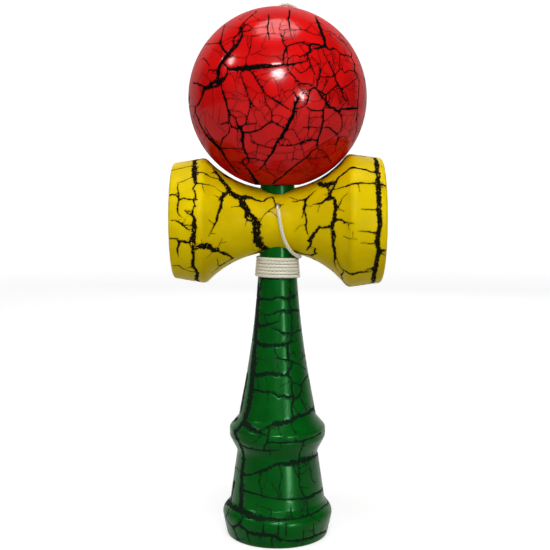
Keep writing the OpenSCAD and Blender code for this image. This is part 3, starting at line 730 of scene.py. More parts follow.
kenCracksAndShade = [
    # the first two cracks run down the grip's left edge and are drawn as wide as the dark strip there: partly
    # crack, partly painted shade of that edge
    ((2.0, 2.1, 1.9, 1.8, 1.9, 1.9, 1.8, 1.8, 1.7), [
        (258.3, 286), (258.3, 298), (257.3, 306), (256.8, 315), (256.3, 325), (255.7, 333), (255.5, 341),
        (254.5, 350), (253.7, 360), (253, 370), (252.3, 380), (251.3, 390), (249.7, 400), (248.3, 408),
        (246, 416), (244.5, 422)]),
    ((1.6, 1.3, 1.2, 1.2, 1.5, 1.6, 1.6, 1.5, 1.4), [
        (244, 422), (238.5, 429), (234.7, 433), (237, 438), (240, 443.5), (242.3, 449), (243.7, 456),
        (243.5, 463), (242.3, 471), (241.7, 479), (241.3, 488), (241.3, 497), (241, 506)]),
    ((1.4, 1.2, 1.0, 0.5), [(245, 424), (249, 426.5), (252, 429), (256, 431), (262, 433.5), (266, 435.5)]),
    ((0.7, 0.8, 0.6), [(262, 277), (270, 278), (277, 279), (283, 278), (291, 276.5)]),
    ((0.8, 0.6), [(263, 277), (261.5, 283), (261, 289.5)]),
    ((0.8, 0.7, 0.8, 0.7, 0.5), [
        (259, 299), (263, 298.8), (268, 300), (273, 299.3), (277, 297.3), (283, 298), (286, 299),
        (290, 297.5), (294, 295.5)]),
    ((0.25, 0.5, 0.6, 0.5), [
        (261, 313.5), (268, 315), (273, 314), (278, 312), (282, 310.3), (287, 311), (291, 309)]),
    ((0.5, 0.7, 0.5), [(286, 313.3), (290, 312), (293, 310), (297, 310), (299.5, 311)]),
    ((0.9, 0.8, 0.2), [(258, 326.3), (266, 325.5), (272, 324), (276, 322), (281, 321)]),
    ((0.2, 0.7, 0.6, 0.5), [
        (272, 328), (278, 330.5), (283, 333), (289, 333.5), (294, 333), (297, 330.5), (302, 329.5)]),
    ((1.1, 1.0, 1.0, 0.8, 0.6, 0.4), [
        (256, 341), (260, 344.5), (264, 345.5), (270, 345.7), (276, 345.3), (282, 345), (287, 343.5),
        (291, 342), (297, 340)]),
    ((0.15, 0.4, 0.6), [(272, 358.5), (280, 359), (287, 359.7), (292, 361)]),
    ((1.1, 1.0, 1.0, 0.7, 0.6), [
        (254, 374.7), (262, 375), (267, 373.7), (272, 373.5), (278, 375), (283, 375.5), (287, 373.5),
        (289.5, 370.5)]),
    ((0.8, 0.7, 0.7, 0.8, 0.6), [
        (253, 389.5), (259, 391), (264, 392), (272, 392), (275, 394), (278, 397), (283, 396), (287, 396.7),
        (294, 397.3)]),
    ((0.7, 0.6, 0.6, 0.6, 0.6, 0.5), [
        (289.7, 276), (290, 284), (289.5, 292), (290.7, 298), (289, 303), (291, 309), (292, 318), (292, 327),
        (292.5, 334), (291.5, 340)]),
    ((0.5, 0.7, 0.7, 0.6, 0.6, 0.6), [
        (291.5, 340), (288, 346), (288, 354), (289, 359), (292, 362.5), (291.5, 366), (289, 371), (288, 375),
        (291, 378), (292.5, 383), (291.7, 389), (293, 394), (294.5, 398), (292.5, 404), (292, 410),
        (294.3, 417)]),
    ((0.4, 0.3), [(292.5, 299), (296, 294.5), (297.5, 291)]),
    ((0.4, 0.35), [(297, 310), (297.5, 318), (298.5, 328)]),
    ((0.4, 0.4), [(292, 362.5), (296, 363), (299, 364), (302, 367), (306, 369.5)]),
    ((0.35, 0.5), [(300, 360), (302, 358), (305, 355)]),
    ((0.5, 0.7, 0.5), [(308, 374), (305.5, 378), (303, 382), (300.5, 386)]),
    ((0.5, 0.7, 0.7), [(302, 387), (300, 394), (297, 398), (293.5, 398)]),
    ((0.3, 0.35), [(292.5, 382.5), (297, 383), (300.5, 386)]),
    ((0.3, 0.4), [(300, 396), (303, 403), (306.5, 409)]),
    ((0.3, 0.3), [(293, 350), (296, 357)]),
    ((0.9, 1.1, 1.0, 0.8), [(315, 407), (310, 411), (306, 414), (301, 415.7), (297, 417.5), (292, 418.5)]),
    ((0.8, 1.1, 1.2, 1.2, 1.0, 0.4), [
        (297, 417), (293, 420.3), (289, 422), (284, 423), (278, 423.7), (272, 425), (267, 427), (262, 430)]),
    ((0.5, 0.6), [(269, 429), (268, 437), (267.5, 442.5)]),
    ((0.5, 0.6, 0.6, 0.6, 0.5), [(267, 442.5), (280, 443), (292, 442.5), (302, 441), (312, 438), (321, 433)]),
    ((0.6, 0.5), [(267, 442.7), (265, 445), (264, 449.5)]),
    ((0.7, 0.6, 0.6, 0.4), [
        (240, 443.5), (246, 447.5), (254, 449.5), (262, 450.5), (270, 450.5), (279, 450)]),
    ((0.3, 0.3), [(280.5, 443), (281, 448)]),
    ((0.3, 0.25), [(291, 425), (293, 429.5), (296, 434)]),
    ((0.5, 0.45, 0.5, 0.45), [
        (304, 441), (302, 448), (299.3, 453.5), (299, 461), (299, 469), (300, 478), (299, 485), (301.5, 491),
        (305, 497.5)]),
    ((0.8, 1.2, 1.2, 1.0, 0.9, 0.7, 0.5), [
        (317.5, 454.5), (312, 457.5), (306, 459), (300, 461), (294, 462.7), (288, 463.8), (282, 463.5),
        (276, 464.5), (269, 468), (261, 471), (253, 474), (244, 475.5)]),
    ((0.3, 0.3), [(235.5, 466), (239.5, 471.5)]),
    ((0.6, 0.5, 0.45, 0.5, 0.6), [
        (243, 490.5), (252, 493), (262, 496), (274, 498.7), (288, 500), (298, 499), (305, 498)]),
    ((0.7, 0.9, 0.7), [(304, 498), (309, 497.3), (315, 493.8), (322.5, 490)]),
    ((0.35, 0.45, 0.3), [(308.5, 461), (310, 470), (311, 477), (314.5, 485)]),
    ((0.3, 0.3), [(293, 464), (294.5, 470), (298.5, 477)]),
    ((0.5, 0.5), [(305.5, 498.5), (307.5, 506), (308, 515.5)]),
    ((0.3, 0.3), [(262, 471), (259, 482), (262, 496)]),
    ((0.3, 0.25), [(279, 464), (282, 476), (279, 488), (283, 500)]),
    # the line along the seam between the collar and the base ring is partly a crack and partly painted shade
    # in that step, widest on the left
    ((1.3, 1.6, 1.6, 1.3, 0.9, 0.6, 0.6, 0.6, 0.5), [
        (227, 502), (233, 507), (240, 510.3), (247, 514), (255, 517), (263, 518.5), (275, 519.5),
        (288, 519.5), (300, 518), (310, 515), (318, 511), (326, 504.5)]),
    ((0.5, 0.6, 0.6), [(228.5, 511), (226, 517), (229, 523), (233, 528)]),
    ((0.5, 0.8, 0.8, 0.5), [(243, 516), (241, 521.5), (238, 525), (233, 527), (236, 533), (237.5, 539)]),
    ((0.7, 1.0, 1.0, 1.0, 0.8), [
        (239, 525), (245, 529), (248, 532), (254, 534), (262, 535), (270, 535.5), (276, 537), (281, 540)]),
    ((0.5, 0.4), [(246, 531), (248.5, 538), (250.5, 542.5)]),
    ((0.4, 0.4), [(263.5, 524), (263, 534.5)]),
    ((0.45, 0.45), [(278.5, 526), (278, 536)]),
    ((0.45, 0.45), [(286.5, 525), (286, 535)]),
    ((0.4, 0.8, 0.9, 0.9), [
        (280, 539.5), (290, 541), (300, 540.5), (308, 538.5), (314, 536.7), (319, 534), (326, 531)]),
    ((0.4, 0.45), [(313.5, 524), (314, 532), (313, 537)]),
    ((0.3, 0.3), [(271.5, 537), (272, 546)]),
    ((0.3, 0.3), [(303.5, 529), (303, 539)]),
    ((0.35, 0.35), [(271, 510), (271.3, 519)]),
    ((0.35, 0.4), [(291, 508), (292, 519)]),
]
crackCasting = {
    "pixelStep": 1.7,  # pixels between the points cast from the photograph
    "wobble": 0.3,  # pixels
    "uneven": 0.25,  # share of its width by which a crack swells and narrows
    "broader": ((0.5, 1.2), (1.0, 1.25)),  # a wide crack gets back what its ragged edges lose
    "longestLink": 3.0,  # mm, past which two points lie on different parts of the piece
    "search": 2.4,  # mm to each side of a crack
    "pressIn": 0.12,  # mm that the under-paint lies below the paint
    "pressEdge": (0.05, 0.3),  # mm past a crack's edge where the pressing starts, and its slope's width
    "pressFull": 0.3,  # mm, half the width of a crack that is pressed in all the way
    "noCrack": 10,  # mm off the surface, for a vertex with no crack near
    "wanderStep": 1.0,  # mm
}


def surfaceTree(piece):
    return BVHTree.FromObject(piece, bpy.context.evaluated_depsgraph_get())


def castCrack(tree, crack, rng):
    widths, pixels = crack
    spots = []
    for (xa, ya), (xb, yb) in zip(pixels, pixels[1:]):
        length = math.hypot(xb - xa, yb - ya)
        count = max(1, round(length / crackCasting["pixelStep"]))
        for k in range(count):
            aside = rng.uniform(-1, 1) * crackCasting["wobble"] if k else 0
            x = xa + (xb - xa) * k / count - (yb - ya) / length * aside
            y = ya + (yb - ya) * k / count + (xb - xa) / length * aside
            spots.append((x, y))
    spots.append(pixels[-1])
    line = []
    for k, (x, y) in enumerate(spots):
        hit = tree.ray_cast(*pixelRay(x, y))[0]
        if hit:
            share = k / (len(spots) - 1) * (len(widths) - 1)
            width = float(np.interp(share, range(len(widths)), widths))
            half = width / 2 * float(np.interp(width, *crackCasting["broader"]))
            line.append((hit / mm, half * (1 + rng.uniform(-1, 1) * crackCasting["uneven"])))
    return line


def turnedCopies(lines, axis, middle, upsideDown=False):
    # the same cracks again further round the piece, each copy kept to its own share of the turn
    copies = []
    for turn, flip in sideTurns:
        spin = Quaternion((1, 0, 0) if axis == "X" else (0, 0, 1), math.radians(turn))
        for line in lines:
            run = []
            for place, half in line:
                spot = place - Vector((0, 0, middle))
                across = spot.z if axis == "X" else spot.x
                if abs(math.degrees(math.atan2(across, -spot.y))) > sideReach:
                    if len(run) > 1:
                        copies.append(run)
                    run = []
                    continue
                if axis == "X":
                    spot.z *= flip
                else:
                    spot.x *= flip
                if upsideDown:
                    spot.z *= -1
                run.append((spin @ spot + Vector((0, 0, middle)), half))
            if len(run) > 1:
                copies.append(run)
    return copies


def wanderCrack(tree, rng, start, heading, length, widths, swing):
    # a crack that feels its way over a surface that the photograph doesn't show
    step = crackCasting["wanderStep"]
    place, normal = tree.find_nearest(Vector(start) * mm)[:2]
    heading = Vector(heading)
    line = []
    count = int(length / step)
    for k in range(count + 1):
        line.append((place / mm, (widths[0] + (widths[1] - widths[0]) * k / count) / 2))
        heading = (heading - heading.project(normal)).normalized()
        heading.rotate(Quaternion(normal, rng.gauss(0, math.radians(swing))))
        place, normal = tree.find_nearest(place + heading * step * mm)[:2]
    return line


hairGrowth = {
    "step": 0.8,  # mm
    "cell": 1.5,  # mm, side of the boxes in which other cracks are looked up
    "leaveAngle": (50, 120),  # degrees from the older crack
    "shortest": 4,  # points
    "clearOf": 5,  # points after which a hair may meet the crack that it left
    "tip": 0.3,  # share of the width that is left at a loose end
}


def growHairs(tree, lines, rng, look, likely):
    # fine cracks, each of which leaves an older crack and runs on until it meets another
    step = hairGrowth["step"]
    cells = {}
    spots = []

    def cellOf(place):
        return tuple(math.floor(v / hairGrowth["cell"]) for v in place)

    def lay(line, number):
        for (place, _), (ahead, _) in zip(line, line[1:]):
            if (ahead - place).length < crackCasting["longestLink"]:
                spots.append((place, ahead - place, number))
                cells.setdefault(cellOf(place), []).append((place, number))

    def meets(place, leftBehind):
        x, y, z = cellOf(place)
        for i, j, k in product((-1, 0, 1), repeat=3):
            for spot, number in cells.get((x + i, y + j, z + k), ()):
                if number != leftBehind and (spot - place).length < look["meet"]:
                    return spot
        return None

    for number, line in enumerate(lines):
        lay(line, number)
    hairs = []
    begun = []
    for _ in range(look["tries"]):
        start, along, parent = spots[rng.randrange(len(spots))]
        place, normal = tree.find_nearest(start * mm)[:2]
        turn = math.radians(rng.choice((-1, 1)) * rng.uniform(*hairGrowth["leaveAngle"]))
        heading = along.normalized()
        heading.rotate(Quaternion(normal, turn))
        luck = rng.random()
        longest = rng.uniform(*look["length"])
        wide = rng.uniform(*look["width"]) / 2
        run = [start]
        met = None
        while len(run) * step < longest and not met:
            heading = (heading - heading.project(normal)).normalized()
            heading.rotate(Quaternion(normal, rng.gauss(0, math.radians(look["swing"]))))
            place, normal = tree.find_nearest(place + heading * step * mm)[:2]
            run.append(place / mm)
            if len(run) > 2:
                met = meets(place / mm, parent if len(run) < hairGrowth["clearOf"] else None)
        if met:
            run.append(met)
        crowded = any((start - other).length < look["apart"] for other in begun)
        if luck > likely(start) or len(run) < hairGrowth["shortest"] or crowded:
            continue
        begun.append(start)
        ends = 1 if met else hairGrowth["tip"]
        hair = [(spot, wide * (1 + (ends - 1) * k / len(run))) for k, spot in enumerate(run)]
        lay(hair, len(lines) + len(hairs))
        hairs.append(hair)
    return hairs


def crackCup(tree, rng, look):
    # a few cracks right across a cup, joined by finer ones
    inward = Vector(look["inward"])
    side = Vector((0, 1, 0))
    side.rotate(Quaternion(inward, rng.uniform(0, math.pi)))
    ahead = inward.cross(side)
    stray = cupCracking["stray"]
    lines = []
    for share in look["offsets"]:
        aside = share + rng.uniform(-stray, stray)
        reach = math.sqrt(1 - aside**2)
        start = Vector(look["rim"]) + (side * aside - ahead * reach * cupCracking["from"]) * look["radius"]
        length = look["radius"] * reach * 2
        lines.append(wanderCrack(tree, rng, start, ahead, length, look["width"], cupCracking["swing"]))
    return lines + growHairs(tree, lines, rng, cupHairs, lambda place: 1)


def storeCracks(piece, lines):
    # each vertex keeps its nearest point on a crack, so that the shader draws a thin line between vertices
    mesh = piece.data
    count = len(mesh.vertices)
    verts = np.empty(count * 3)
    mesh.vertices.foreach_get("co", verts)
    verts = verts.reshape(-1, 3) / mm
    normals = np.empty(count * 3)
    mesh.vertices.foreach_get("normal", normals)
    normals = normals.reshape(-1, 3)
    tree = kdtree.KDTree(count)
    for i, place in enumerate(verts):
        tree.insert(place, i)
    tree.balance()
    search = crackCasting["search"]
    near = verts + normals * crackCasting["noCrack"]
    gap = np.full(count, search)
    halves = np.zeros(count)
    for line in lines:
        for (a, halfA), (b, halfB) in zip(line, line[1:]):
            length = (b - a).length
            if length > crackCasting["longestLink"] or length < 1e-6:
                continue
            hits = tree.find_range((a + b) / 2, length / 2 + search)
            found = np.array([hit[1] for hit in hits], dtype=int)
            if not len(found):
                continue
            start = np.array(a)
            along = np.array(b) - start
            share = np.clip((verts[found] - start) @ along / length**2, 0, 1)
            foot = start + share[:, None] * along
            half = halfA + share * (halfB - halfA)
            clear = np.linalg.norm(verts[found] - foot, axis=1) - half
            better = clear < gap[found]
            chosen = found[better]
            near[chosen] = foot[better]
            gap[chosen] = clear[better]
            halves[chosen] = half[better]
    edge, slope = crackCasting["pressEdge"]
    sunk = np.clip((edge - gap) / slope, 0, 1)
    sunk = sunk * sunk * (3 - 2 * sunk) * np.clip(halves / crackCasting["pressFull"], 0, 1)
    sunk = (sunk * crackCasting["pressIn"])[:, None] * normals
    mesh.vertices.foreach_set("co", ((verts - sunk) * mm).ravel())
    for label, kind, field, values in (
        ("crackNear", "FLOAT_VECTOR", "vector", (near - sunk).ravel()),
        ("crackHalf", "FLOAT", "value", halves),
        ("crackGap", "FLOAT", "value", gap),
    ):
        mesh.attributes.new(label, kind, "POINT").data.foreach_set(field, values)
    mesh.update()


sideTurns = [(127.5, -1), (232.5, -1)]  # degrees round the piece, and which way the copy faces
sideReach = 52.5  # degrees to each side of a copy's middle
# lengths and widths in mm, swing in degrees
ballHairs = {
    "tries": 3000, "length": (5, 12), "width": (0.05, 0.14), "swing": 9, "meet": 0.8, "apart": 1.8,
}
crossHairs = {
    "tries": 170, "length": (1.6, 5), "width": (0.1, 0.3), "swing": 10, "meet": 0.5, "apart": 2.5,
}
kenHairs = {
    "tries": 600, "length": (1.6, 7), "width": (0.1, 0.3), "swing": 11, "meet": 0.6, "apart": 2.4,
}
cupHairs = {
    "tries": 120, "length": (6, 16), "width": (0.2, 0.5), "swing": 9, "meet": 0.7, "apart": 5.5,
}
# each cup's cracks start at its rim, at these shares of its radius to the side of its middle
cupCracking = {"stray": 0.08, "from": 0.97, "swing": 6}
bigCupCracks = {
    "rim": (34, 0, crossZ), "inward": (-1, 0, 0), "radius": 17.5,
    "offsets": (-0.55, 0.02, 0.5), "width": (0.9, 0.5),
}
smallCupCracks = {
    "rim": (-34, 0, crossZ), "inward": (1, 0, 0), "radius": 16,
    "offsets": (-0.4, 0.35), "width": (0.9, 0.5),
}
baseCupCracks = {
    "rim": (0, 0, 1), "inward": (0, 0, 1), "radius": 13.5,
    "offsets": (-0.45, 0.3), "width": (0.7, 0.4),
}
# cracks that run out from the string's hole over the back of the ball
ballTopCracks = {
    "count": 6, "angles": (15, 30, 9),  # first, step and stray, in degrees
    "height": 28, "out": (4, 8), "length": (12, 22), "width": (0.7, 0.3), "swing": 7,
}
# cracks up the spike and round it
spikeCracks = {
    "count": 7, "angles": (0, 51, 15), "reach": 6, "from": (112, 124),
    "length": (16, 34), "width": (0.6, 0.2), "swing": 9,
    "roundAt": (120, 127, 134, 141, 148), "roundReach": 5, "roundStray": 3, "roundLength": (3, 7),
    "roundWidth": (0.5, 0.2), "roundSwing": 10,
}
commonHairs = 0.8  # share of the hairs that grow on the cross-piece and the ken


def outward(k, angles, rng):
    first, step, stray = angles
    angle = math.radians(first + step * k + rng.uniform(-stray, stray))
    return Vector((math.cos(angle), math.sin(angle), 0))


def crackBall():
    rng = random.Random(11)
    tree = surfaceTree(ball)
    lines = [castCrack(tree, crack, rng) for crack in ballCracks]
    lines += turnedCopies(lines, "Z", ballZ, upsideDown=True)
    look = ballTopCracks
    for k in range(look["count"]):
        out = outward(k, look["angles"], rng)
        start = Vector((0, 0, ballZ + look["height"])) + out * rng.uniform(*look["out"])
        length = rng.uniform(*look["length"])
        lines.append(wanderCrack(tree, rng, start, out, length, look["width"], look["swing"]))

    def likely(place):
        # the hairs are thickest low on the ball and to the right
        return 0.82 + 0.35 * place.x / ballSizes["radius"] - 0.3 * (place.z - ballZ) / ballSizes["radius"]

    storeCracks(ball, lines + growHairs(tree, lines, rng, ballHairs, likely))


def crackCrossPiece():
    rng = random.Random(23)
    tree = surfaceTree(crossPiece)
    lines = [castCrack(tree, crack, rng) for crack in crossCracksAndShade + [bigRingCrack]]
    lines += turnedCopies(lines, "X", crossZ)
    lines += growHairs(tree, lines, rng, crossHairs, lambda place: commonHairs)
    lines += crackCup(tree, rng, bigCupCracks)
    lines += crackCup(tree, rng, smallCupCracks)
    storeCracks(crossPiece, lines)


def crackKen():
    rng = random.Random(37)
    tree = surfaceTree(kenHandle)
    lines = [castCrack(tree, crack, rng) for crack in kenCracksAndShade]
    lines += turnedCopies(lines, "Z", 0)
    look = spikeCracks
    stray = look["roundStray"]
    for k in range(look["count"]):
        out = outward(k, look["angles"], rng)
        around = Vector((0, 0, 1)).cross(out)
        low = out * look["reach"] + Vector((0, 0, rng.uniform(*look["from"])))
        length = rng.uniform(*look["length"])
        lines.append(wanderCrack(tree, rng, low, (0, 0, 1), length, look["width"], look["swing"]))
        for z in look["roundAt"]:
            start = out * look["roundReach"] + Vector((0, 0, z + rng.uniform(-stray, stray)))
            length = rng.uniform(*look["roundLength"])
            line = wanderCrack(tree, rng, start, around, length, look["roundWidth"], look["roundSwing"])
            lines.append(line)
    lines += growHairs(tree, lines, rng, kenHairs, lambda place: commonHairs)
    lines += crackCup(tree, rng, baseCupCracks)
    storeCracks(kenHandle, lines)


crackBall()
crackCrossPiece()
crackKen()
print("cracks stored on the three painted pieces")


# Materials
def addNode(tree, kind, inputs=None, **settings):
    node = tree.nodes.new(kind)
    for name, value in settings.items():
        setattr(node, name, value)
    for socket, value in (inputs or {}).items():
        if isinstance(value, bpy.types.NodeSocket):
            tree.links.new(value, node.inputs[socket])
        else:
            node.inputs[socket].default_value = value
    return node


def math2(tree, operation, a, b=0.0, clamp=False):
    return addNode(tree, "ShaderNodeMath", {0: a, 1: b}, operation=operation, use_clamp=clamp).outputs[0]


def rampDown(tree, value, full, none):
    # 1 below full, 0 above none, smooth between
    node = addNode(tree, "ShaderNodeMapRange", {0: value, 1: full, 2: none, 3: 1.0, 4: 0.0})
    node.interpolation_type = "SMOOTHSTEP"
    return node.outputs[0]


def noise(tree, place, scale, detail):
    inputs = {"Vector": place, "Scale": scale, "Detail": detail}
    return addNode(tree, "ShaderNodeTexNoise", inputs).outputs["Fac"]


def mixColour(tree, share, a, b):
    node = addNode(tree, "ShaderNodeMix", {0: share, 6: a, 7: b}, data_type="RGBA")
    return node.outputs[2]


def newGroup(name, inputs, outputs):
    group = bpy.data.node_groups.new(name, "ShaderNodeTree")
    for label, kind, value in inputs:
        socket = group.interface.new_socket(label, in_out="INPUT", socket_type=kind)
        socket.default_value = value
    for label, kind in outputs:
        group.interface.new_socket(label, in_out="OUTPUT", socket_type=kind)
    return group, group.nodes.new("NodeGroupInput"), group.nodes.new("NodeGroupOutput")


def newMaterial(name):
    material = bpy.data.materials.new(name)
    material.use_nodes = True
    tree = material.node_tree
    tree.nodes.clear()
    shader = tree.nodes.new("ShaderNodeBsdfPrincipled")
    output = tree.nodes.new("ShaderNodeOutputMaterial")
    tree.links.new(shader.outputs[0], output.inputs[0])
    return material, tree, shader


def crackleGroup():
    # where the paint has split down to the black under-paint, in mm on the piece's own coordinates; a few
    # traced lines in it are partly painted shade
    group, given, result = newGroup(
        "crackleFilm",
        [("Ragged", "NodeSocketFloat", 0.3), ("Flecks", "NodeSocketFloat", 0.5),
         ("Ring Axis", "NodeSocketVector", (0, 0, 1)), ("Ring Depth", "NodeSocketFloat", 0.1)],
        [("Crack", "NodeSocketFloat"), ("Rim", "NodeSocketFloat"), ("Tone", "NodeSocketFloat"),
         ("Height", "NodeSocketFloat")],
    )
    place = addNode(group, "ShaderNodeTexCoord").outputs["Object"]
    place = addNode(group, "ShaderNodeVectorMath", {0: place, "Scale": 1 / mm}, operation="SCALE").outputs[0]
    near = addNode(group, "ShaderNodeAttribute", attribute_name="crackNear").outputs["Vector"]
    half = addNode(group, "ShaderNodeAttribute", attribute_name="crackHalf").outputs["Fac"]
    gap = addNode(group, "ShaderNodeAttribute", attribute_name="crackGap").outputs["Fac"]
    away = addNode(group, "ShaderNodeVectorMath", {0: place, 1: near}, operation="DISTANCE").outputs["Value"]
    ragged = noise(group, place, 1.5, 2.5)
    ragged = math2(group, "MULTIPLY", math2(group, "SUBTRACT", ragged, 0.5), given.outputs["Ragged"])
    reach = math2(group, "ADD", math2(group, "MULTIPLY", half, 2.0), 0.35)
    ragged = math2(group, "MULTIPLY", ragged, reach)
    edge = math2(group, "SUBTRACT", math2(group, "ADD", away, ragged), half)
    guard = rampDown(group, gap, 0.42, 0.6)
    speck = {"Vector": place, "Scale": 1.1, "Detail": 3.0, "Roughness": 0.6}  # paint left inside a wide crack
    speck = addNode(group, "ShaderNodeTexNoise", speck).outputs["Fac"]
    speck = math2(group, "SUBTRACT", 1.0, rampDown(group, speck, 0.62, 0.66))
    deep = rampDown(group, edge, -0.34, -0.2)
    fleck = math2(group, "MULTIPLY", math2(group, "MULTIPLY", speck, deep), given.outputs["Flecks"])
    split = math2(group, "MULTIPLY", rampDown(group, edge, -0.05, 0.06), guard)
    crack = math2(group, "MULTIPLY", split, math2(group, "SUBTRACT", 1.0, fleck))
    rim = math2(group, "MULTIPLY", rampDown(group, edge, 0.0, 0.35), guard)
    tone = noise(group, place, 0.12, 5.0)
    along = {0: place, 1: given.outputs["Ring Axis"]}  # fine rings left by the lathe
    along = addNode(group, "ShaderNodeVectorMath", along, operation="DOT_PRODUCT").outputs["Value"]
    rings = {"W": along, "Scale": 1.7, "Detail": 3.0}
    rings = addNode(group, "ShaderNodeTexNoise", rings, noise_dimensions="1D").outputs["Fac"]
    height = math2(group, "MULTIPLY", rings, given.outputs["Ring Depth"])
    height = math2(group, "ADD", math2(group, "SUBTRACT", 1.0, crack), height)
    for label, socket in (("Crack", crack), ("Rim", rim), ("Tone", tone), ("Height", height)):
        group.links.new(socket, result.inputs[label])
    return group


redPaint = {
    "paint": (0.66, 0.004, 0.0035, 1), "worn": (0.55, 0.0035, 0.0035, 1), "rim": (0.2, 0.003, 0.003, 1),
    "under": (0.004, 0.003, 0.003, 1), "ragged": 0.5, "flecks": 0.25,
    "ringAxis": (0, 0, 0), "ringDepth": 0.0,
    "roughness": 0.3, "gloss": 0.0, "sheen": (1, 1, 1, 1), "lacquer": 0.25, "lacquerRoughness": 0.16,
}
yellowPaint = {
    "paint": (0.76, 0.56, 0.0005, 1), "worn": (0.67, 0.49, 0.0005, 1), "rim": (0.33, 0.19, 0.001, 1),
    "under": (0.004, 0.003, 0.002, 1), "ragged": 0.65, "flecks": 0.45,
    "ringAxis": (1, 0, 0), "ringDepth": 0.04,
    "roughness": 0.42, "gloss": 0.05, "sheen": (1, 0.85, 0.1, 1), "lacquer": 0.02, "lacquerRoughness": 0.2,
}
greenPaint = {
    "paint": (0.0005, 0.094, 0.005, 1), "worn": (0.001, 0.072, 0.005, 1), "rim": (0.001, 0.028, 0.004, 1),
    "under": (0.003, 0.004, 0.004, 1), "ragged": 1.0, "flecks": 0.35,
    "ringAxis": (0, 0, 1), "ringDepth": 0.22,
    "roughness": 0.3, "gloss": 0.13, "sheen": (0.15, 1, 0.3, 1), "lacquer": 0.04, "lacquerRoughness": 0.2,
}


def cracklePaint(name, look, film):
    material, tree, shader = newMaterial(name)
    lines = addNode(tree, "ShaderNodeGroup", node_tree=film)
    for label, key in (
        ("Ragged", "ragged"), ("Flecks", "flecks"), ("Ring Axis", "ringAxis"), ("Ring Depth", "ringDepth"),
    ):
        lines.inputs[label].default_value = look[key]
    colour = mixColour(tree, rampDown(tree, lines.outputs["Tone"], 0.35, 0.65), look["paint"], look["worn"])
    colour = mixColour(tree, math2(tree, "MULTIPLY", lines.outputs["Rim"], 0.4), colour, look["rim"])
    # the cracks show the black under-paint; along a few traced lines on the ken and the cross-piece this dark
    # colour is painted shade
    colour = mixColour(tree, lines.outputs["Crack"], colour, look["under"])
    tree.links.new(colour, shader.inputs["Base Color"])
    rough = math2(tree, "MULTIPLY", lines.outputs["Crack"], 0.5)
    rough = math2(tree, "ADD", rough, math2(tree, "MULTIPLY", lines.outputs["Tone"], 0.12))
    tree.links.new(math2(tree, "ADD", rough, look["roughness"] - 0.06), shader.inputs["Roughness"])
    bump = {"Strength": 0.5, "Distance": 0.1 * mm, "Height": lines.outputs["Height"]}
    bump = addNode(tree, "ShaderNodeBump", bump)
    tree.links.new(bump.outputs[0], shader.inputs["Normal"])
    coat = math2(tree, "MULTIPLY", math2(tree, "SUBTRACT", 1.0, lines.outputs["Crack"]), look["lacquer"])
    tree.links.new(coat, shader.inputs["Coat Weight"])
    shader.inputs["Coat Roughness"].default_value = look["lacquerRoughness"]
    shader.inputs["Specular IOR Level"].default_value = look["gloss"]
    shader.inputs["Specular Tint"].default_value = look["sheen"]
    return material


woodLook = {"pale": (0.62, 0.43, 0.24, 1), "dark": (0.42, 0.26, 0.13, 1)}


def bareWood(name, pale, dark):
    material, tree, shader = newMaterial(name)
    place = addNode(tree, "ShaderNodeTexCoord").outputs["Object"]
    place = addNode(tree, "ShaderNodeMapping", {"Vector": place, "Scale": (900, 900, 90)}).outputs[0]
    grain = noise(tree, place, 1.0, 6.0)
    colour = mixColour(tree, rampDown(tree, grain, 0.35, 0.65), dark, pale)
    tree.links.new(colour, shader.inputs["Base Color"])
    bump = addNode(tree, "ShaderNodeBump", {"Strength": 0.4, "Distance": 0.08 * mm, "Height": grain})
    tree.links.new(bump.outputs[0], shader.inputs["Normal"])
    tree.links.new(math2(tree, "ADD", math2(tree, "MULTIPLY", grain, 0.2), 0.5), shader.inputs["Roughness"])
    return material


stringLook = {"pale": (0.80, 0.77, 0.66, 1), "shade": (0.62, 0.58, 0.44, 1)}


def twistedString(name):
    material, tree, shader = newMaterial(name)
    run = addNode(tree, "ShaderNodeUVMap", uv_map="stringRun").outputs[0]
    parts = addNode(tree, "ShaderNodeSeparateXYZ", {0: run})
    lay = math2(tree, "SUBTRACT", parts.outputs[1], parts.outputs[0])
    strand = math2(tree, "COSINE", math2(tree, "MULTIPLY", lay, 2 * math.pi * stringSizes["strands"]))
    groove = rampDown(tree, strand, -0.9, -0.1)
    place = addNode(tree, "ShaderNodeTexCoord").outputs["Object"]
    fibre = addNode(tree, "ShaderNodeMapping", {"Vector": place, "Scale": (4000, 4000, 9000)}).outputs[0]
    fibre = noise(tree, fibre, 1.0, 3.0)
    # the grooves between the strands are painted darker: painted shade; the fibre noise mixed in below is the
    # string's own uneven tone
    colour = mixColour(tree, math2(tree, "MULTIPLY", groove, 0.6), stringLook["pale"], stringLook["shade"])
    colour = mixColour(tree, math2(tree, "MULTIPLY", fibre, 0.35), colour, stringLook["shade"])
    tree.links.new(colour, shader.inputs["Base Color"])
    height = math2(tree, "SUBTRACT", fibre, math2(tree, "MULTIPLY", groove, 0.8))
    bump = addNode(tree, "ShaderNodeBump", {"Strength": 0.5, "Distance": 0.06 * mm, "Height": height})
    tree.links.new(bump.outputs[0], shader.inputs["Normal"])
    shader.inputs["Roughness"].default_value = 0.75
    shader.inputs["Sheen Weight"].default_value = 0.2
    return material


film = crackleGroup()
kenHandle.data.materials.append(cracklePaint("greenCrackle", greenPaint, film))
crossPiece.data.materials.append(cracklePaint("yellowCrackle", yellowPaint, film))
ball.data.materials.append(cracklePaint("redCrackle", redPaint, film))
wood = bareWood("bareWood", woodLook["pale"], woodLook["dark"])
ball.data.materials.append(wood)
bead.data.materials.append(wood)
for face in ball.data.polygons:
    out = Vector(face.center) - Vector((0, 0, ballZ * mm))
    if out.length < (ballSizes["radius"] - ballSizes["paintDepth"]) * mm:
        face.material_index = 1
stringFinish = twistedString("whiteString")
for piece in (kendamaString, kenKnot, ballKnot):
    piece.data.materials.append(stringFinish)
print("materials made")

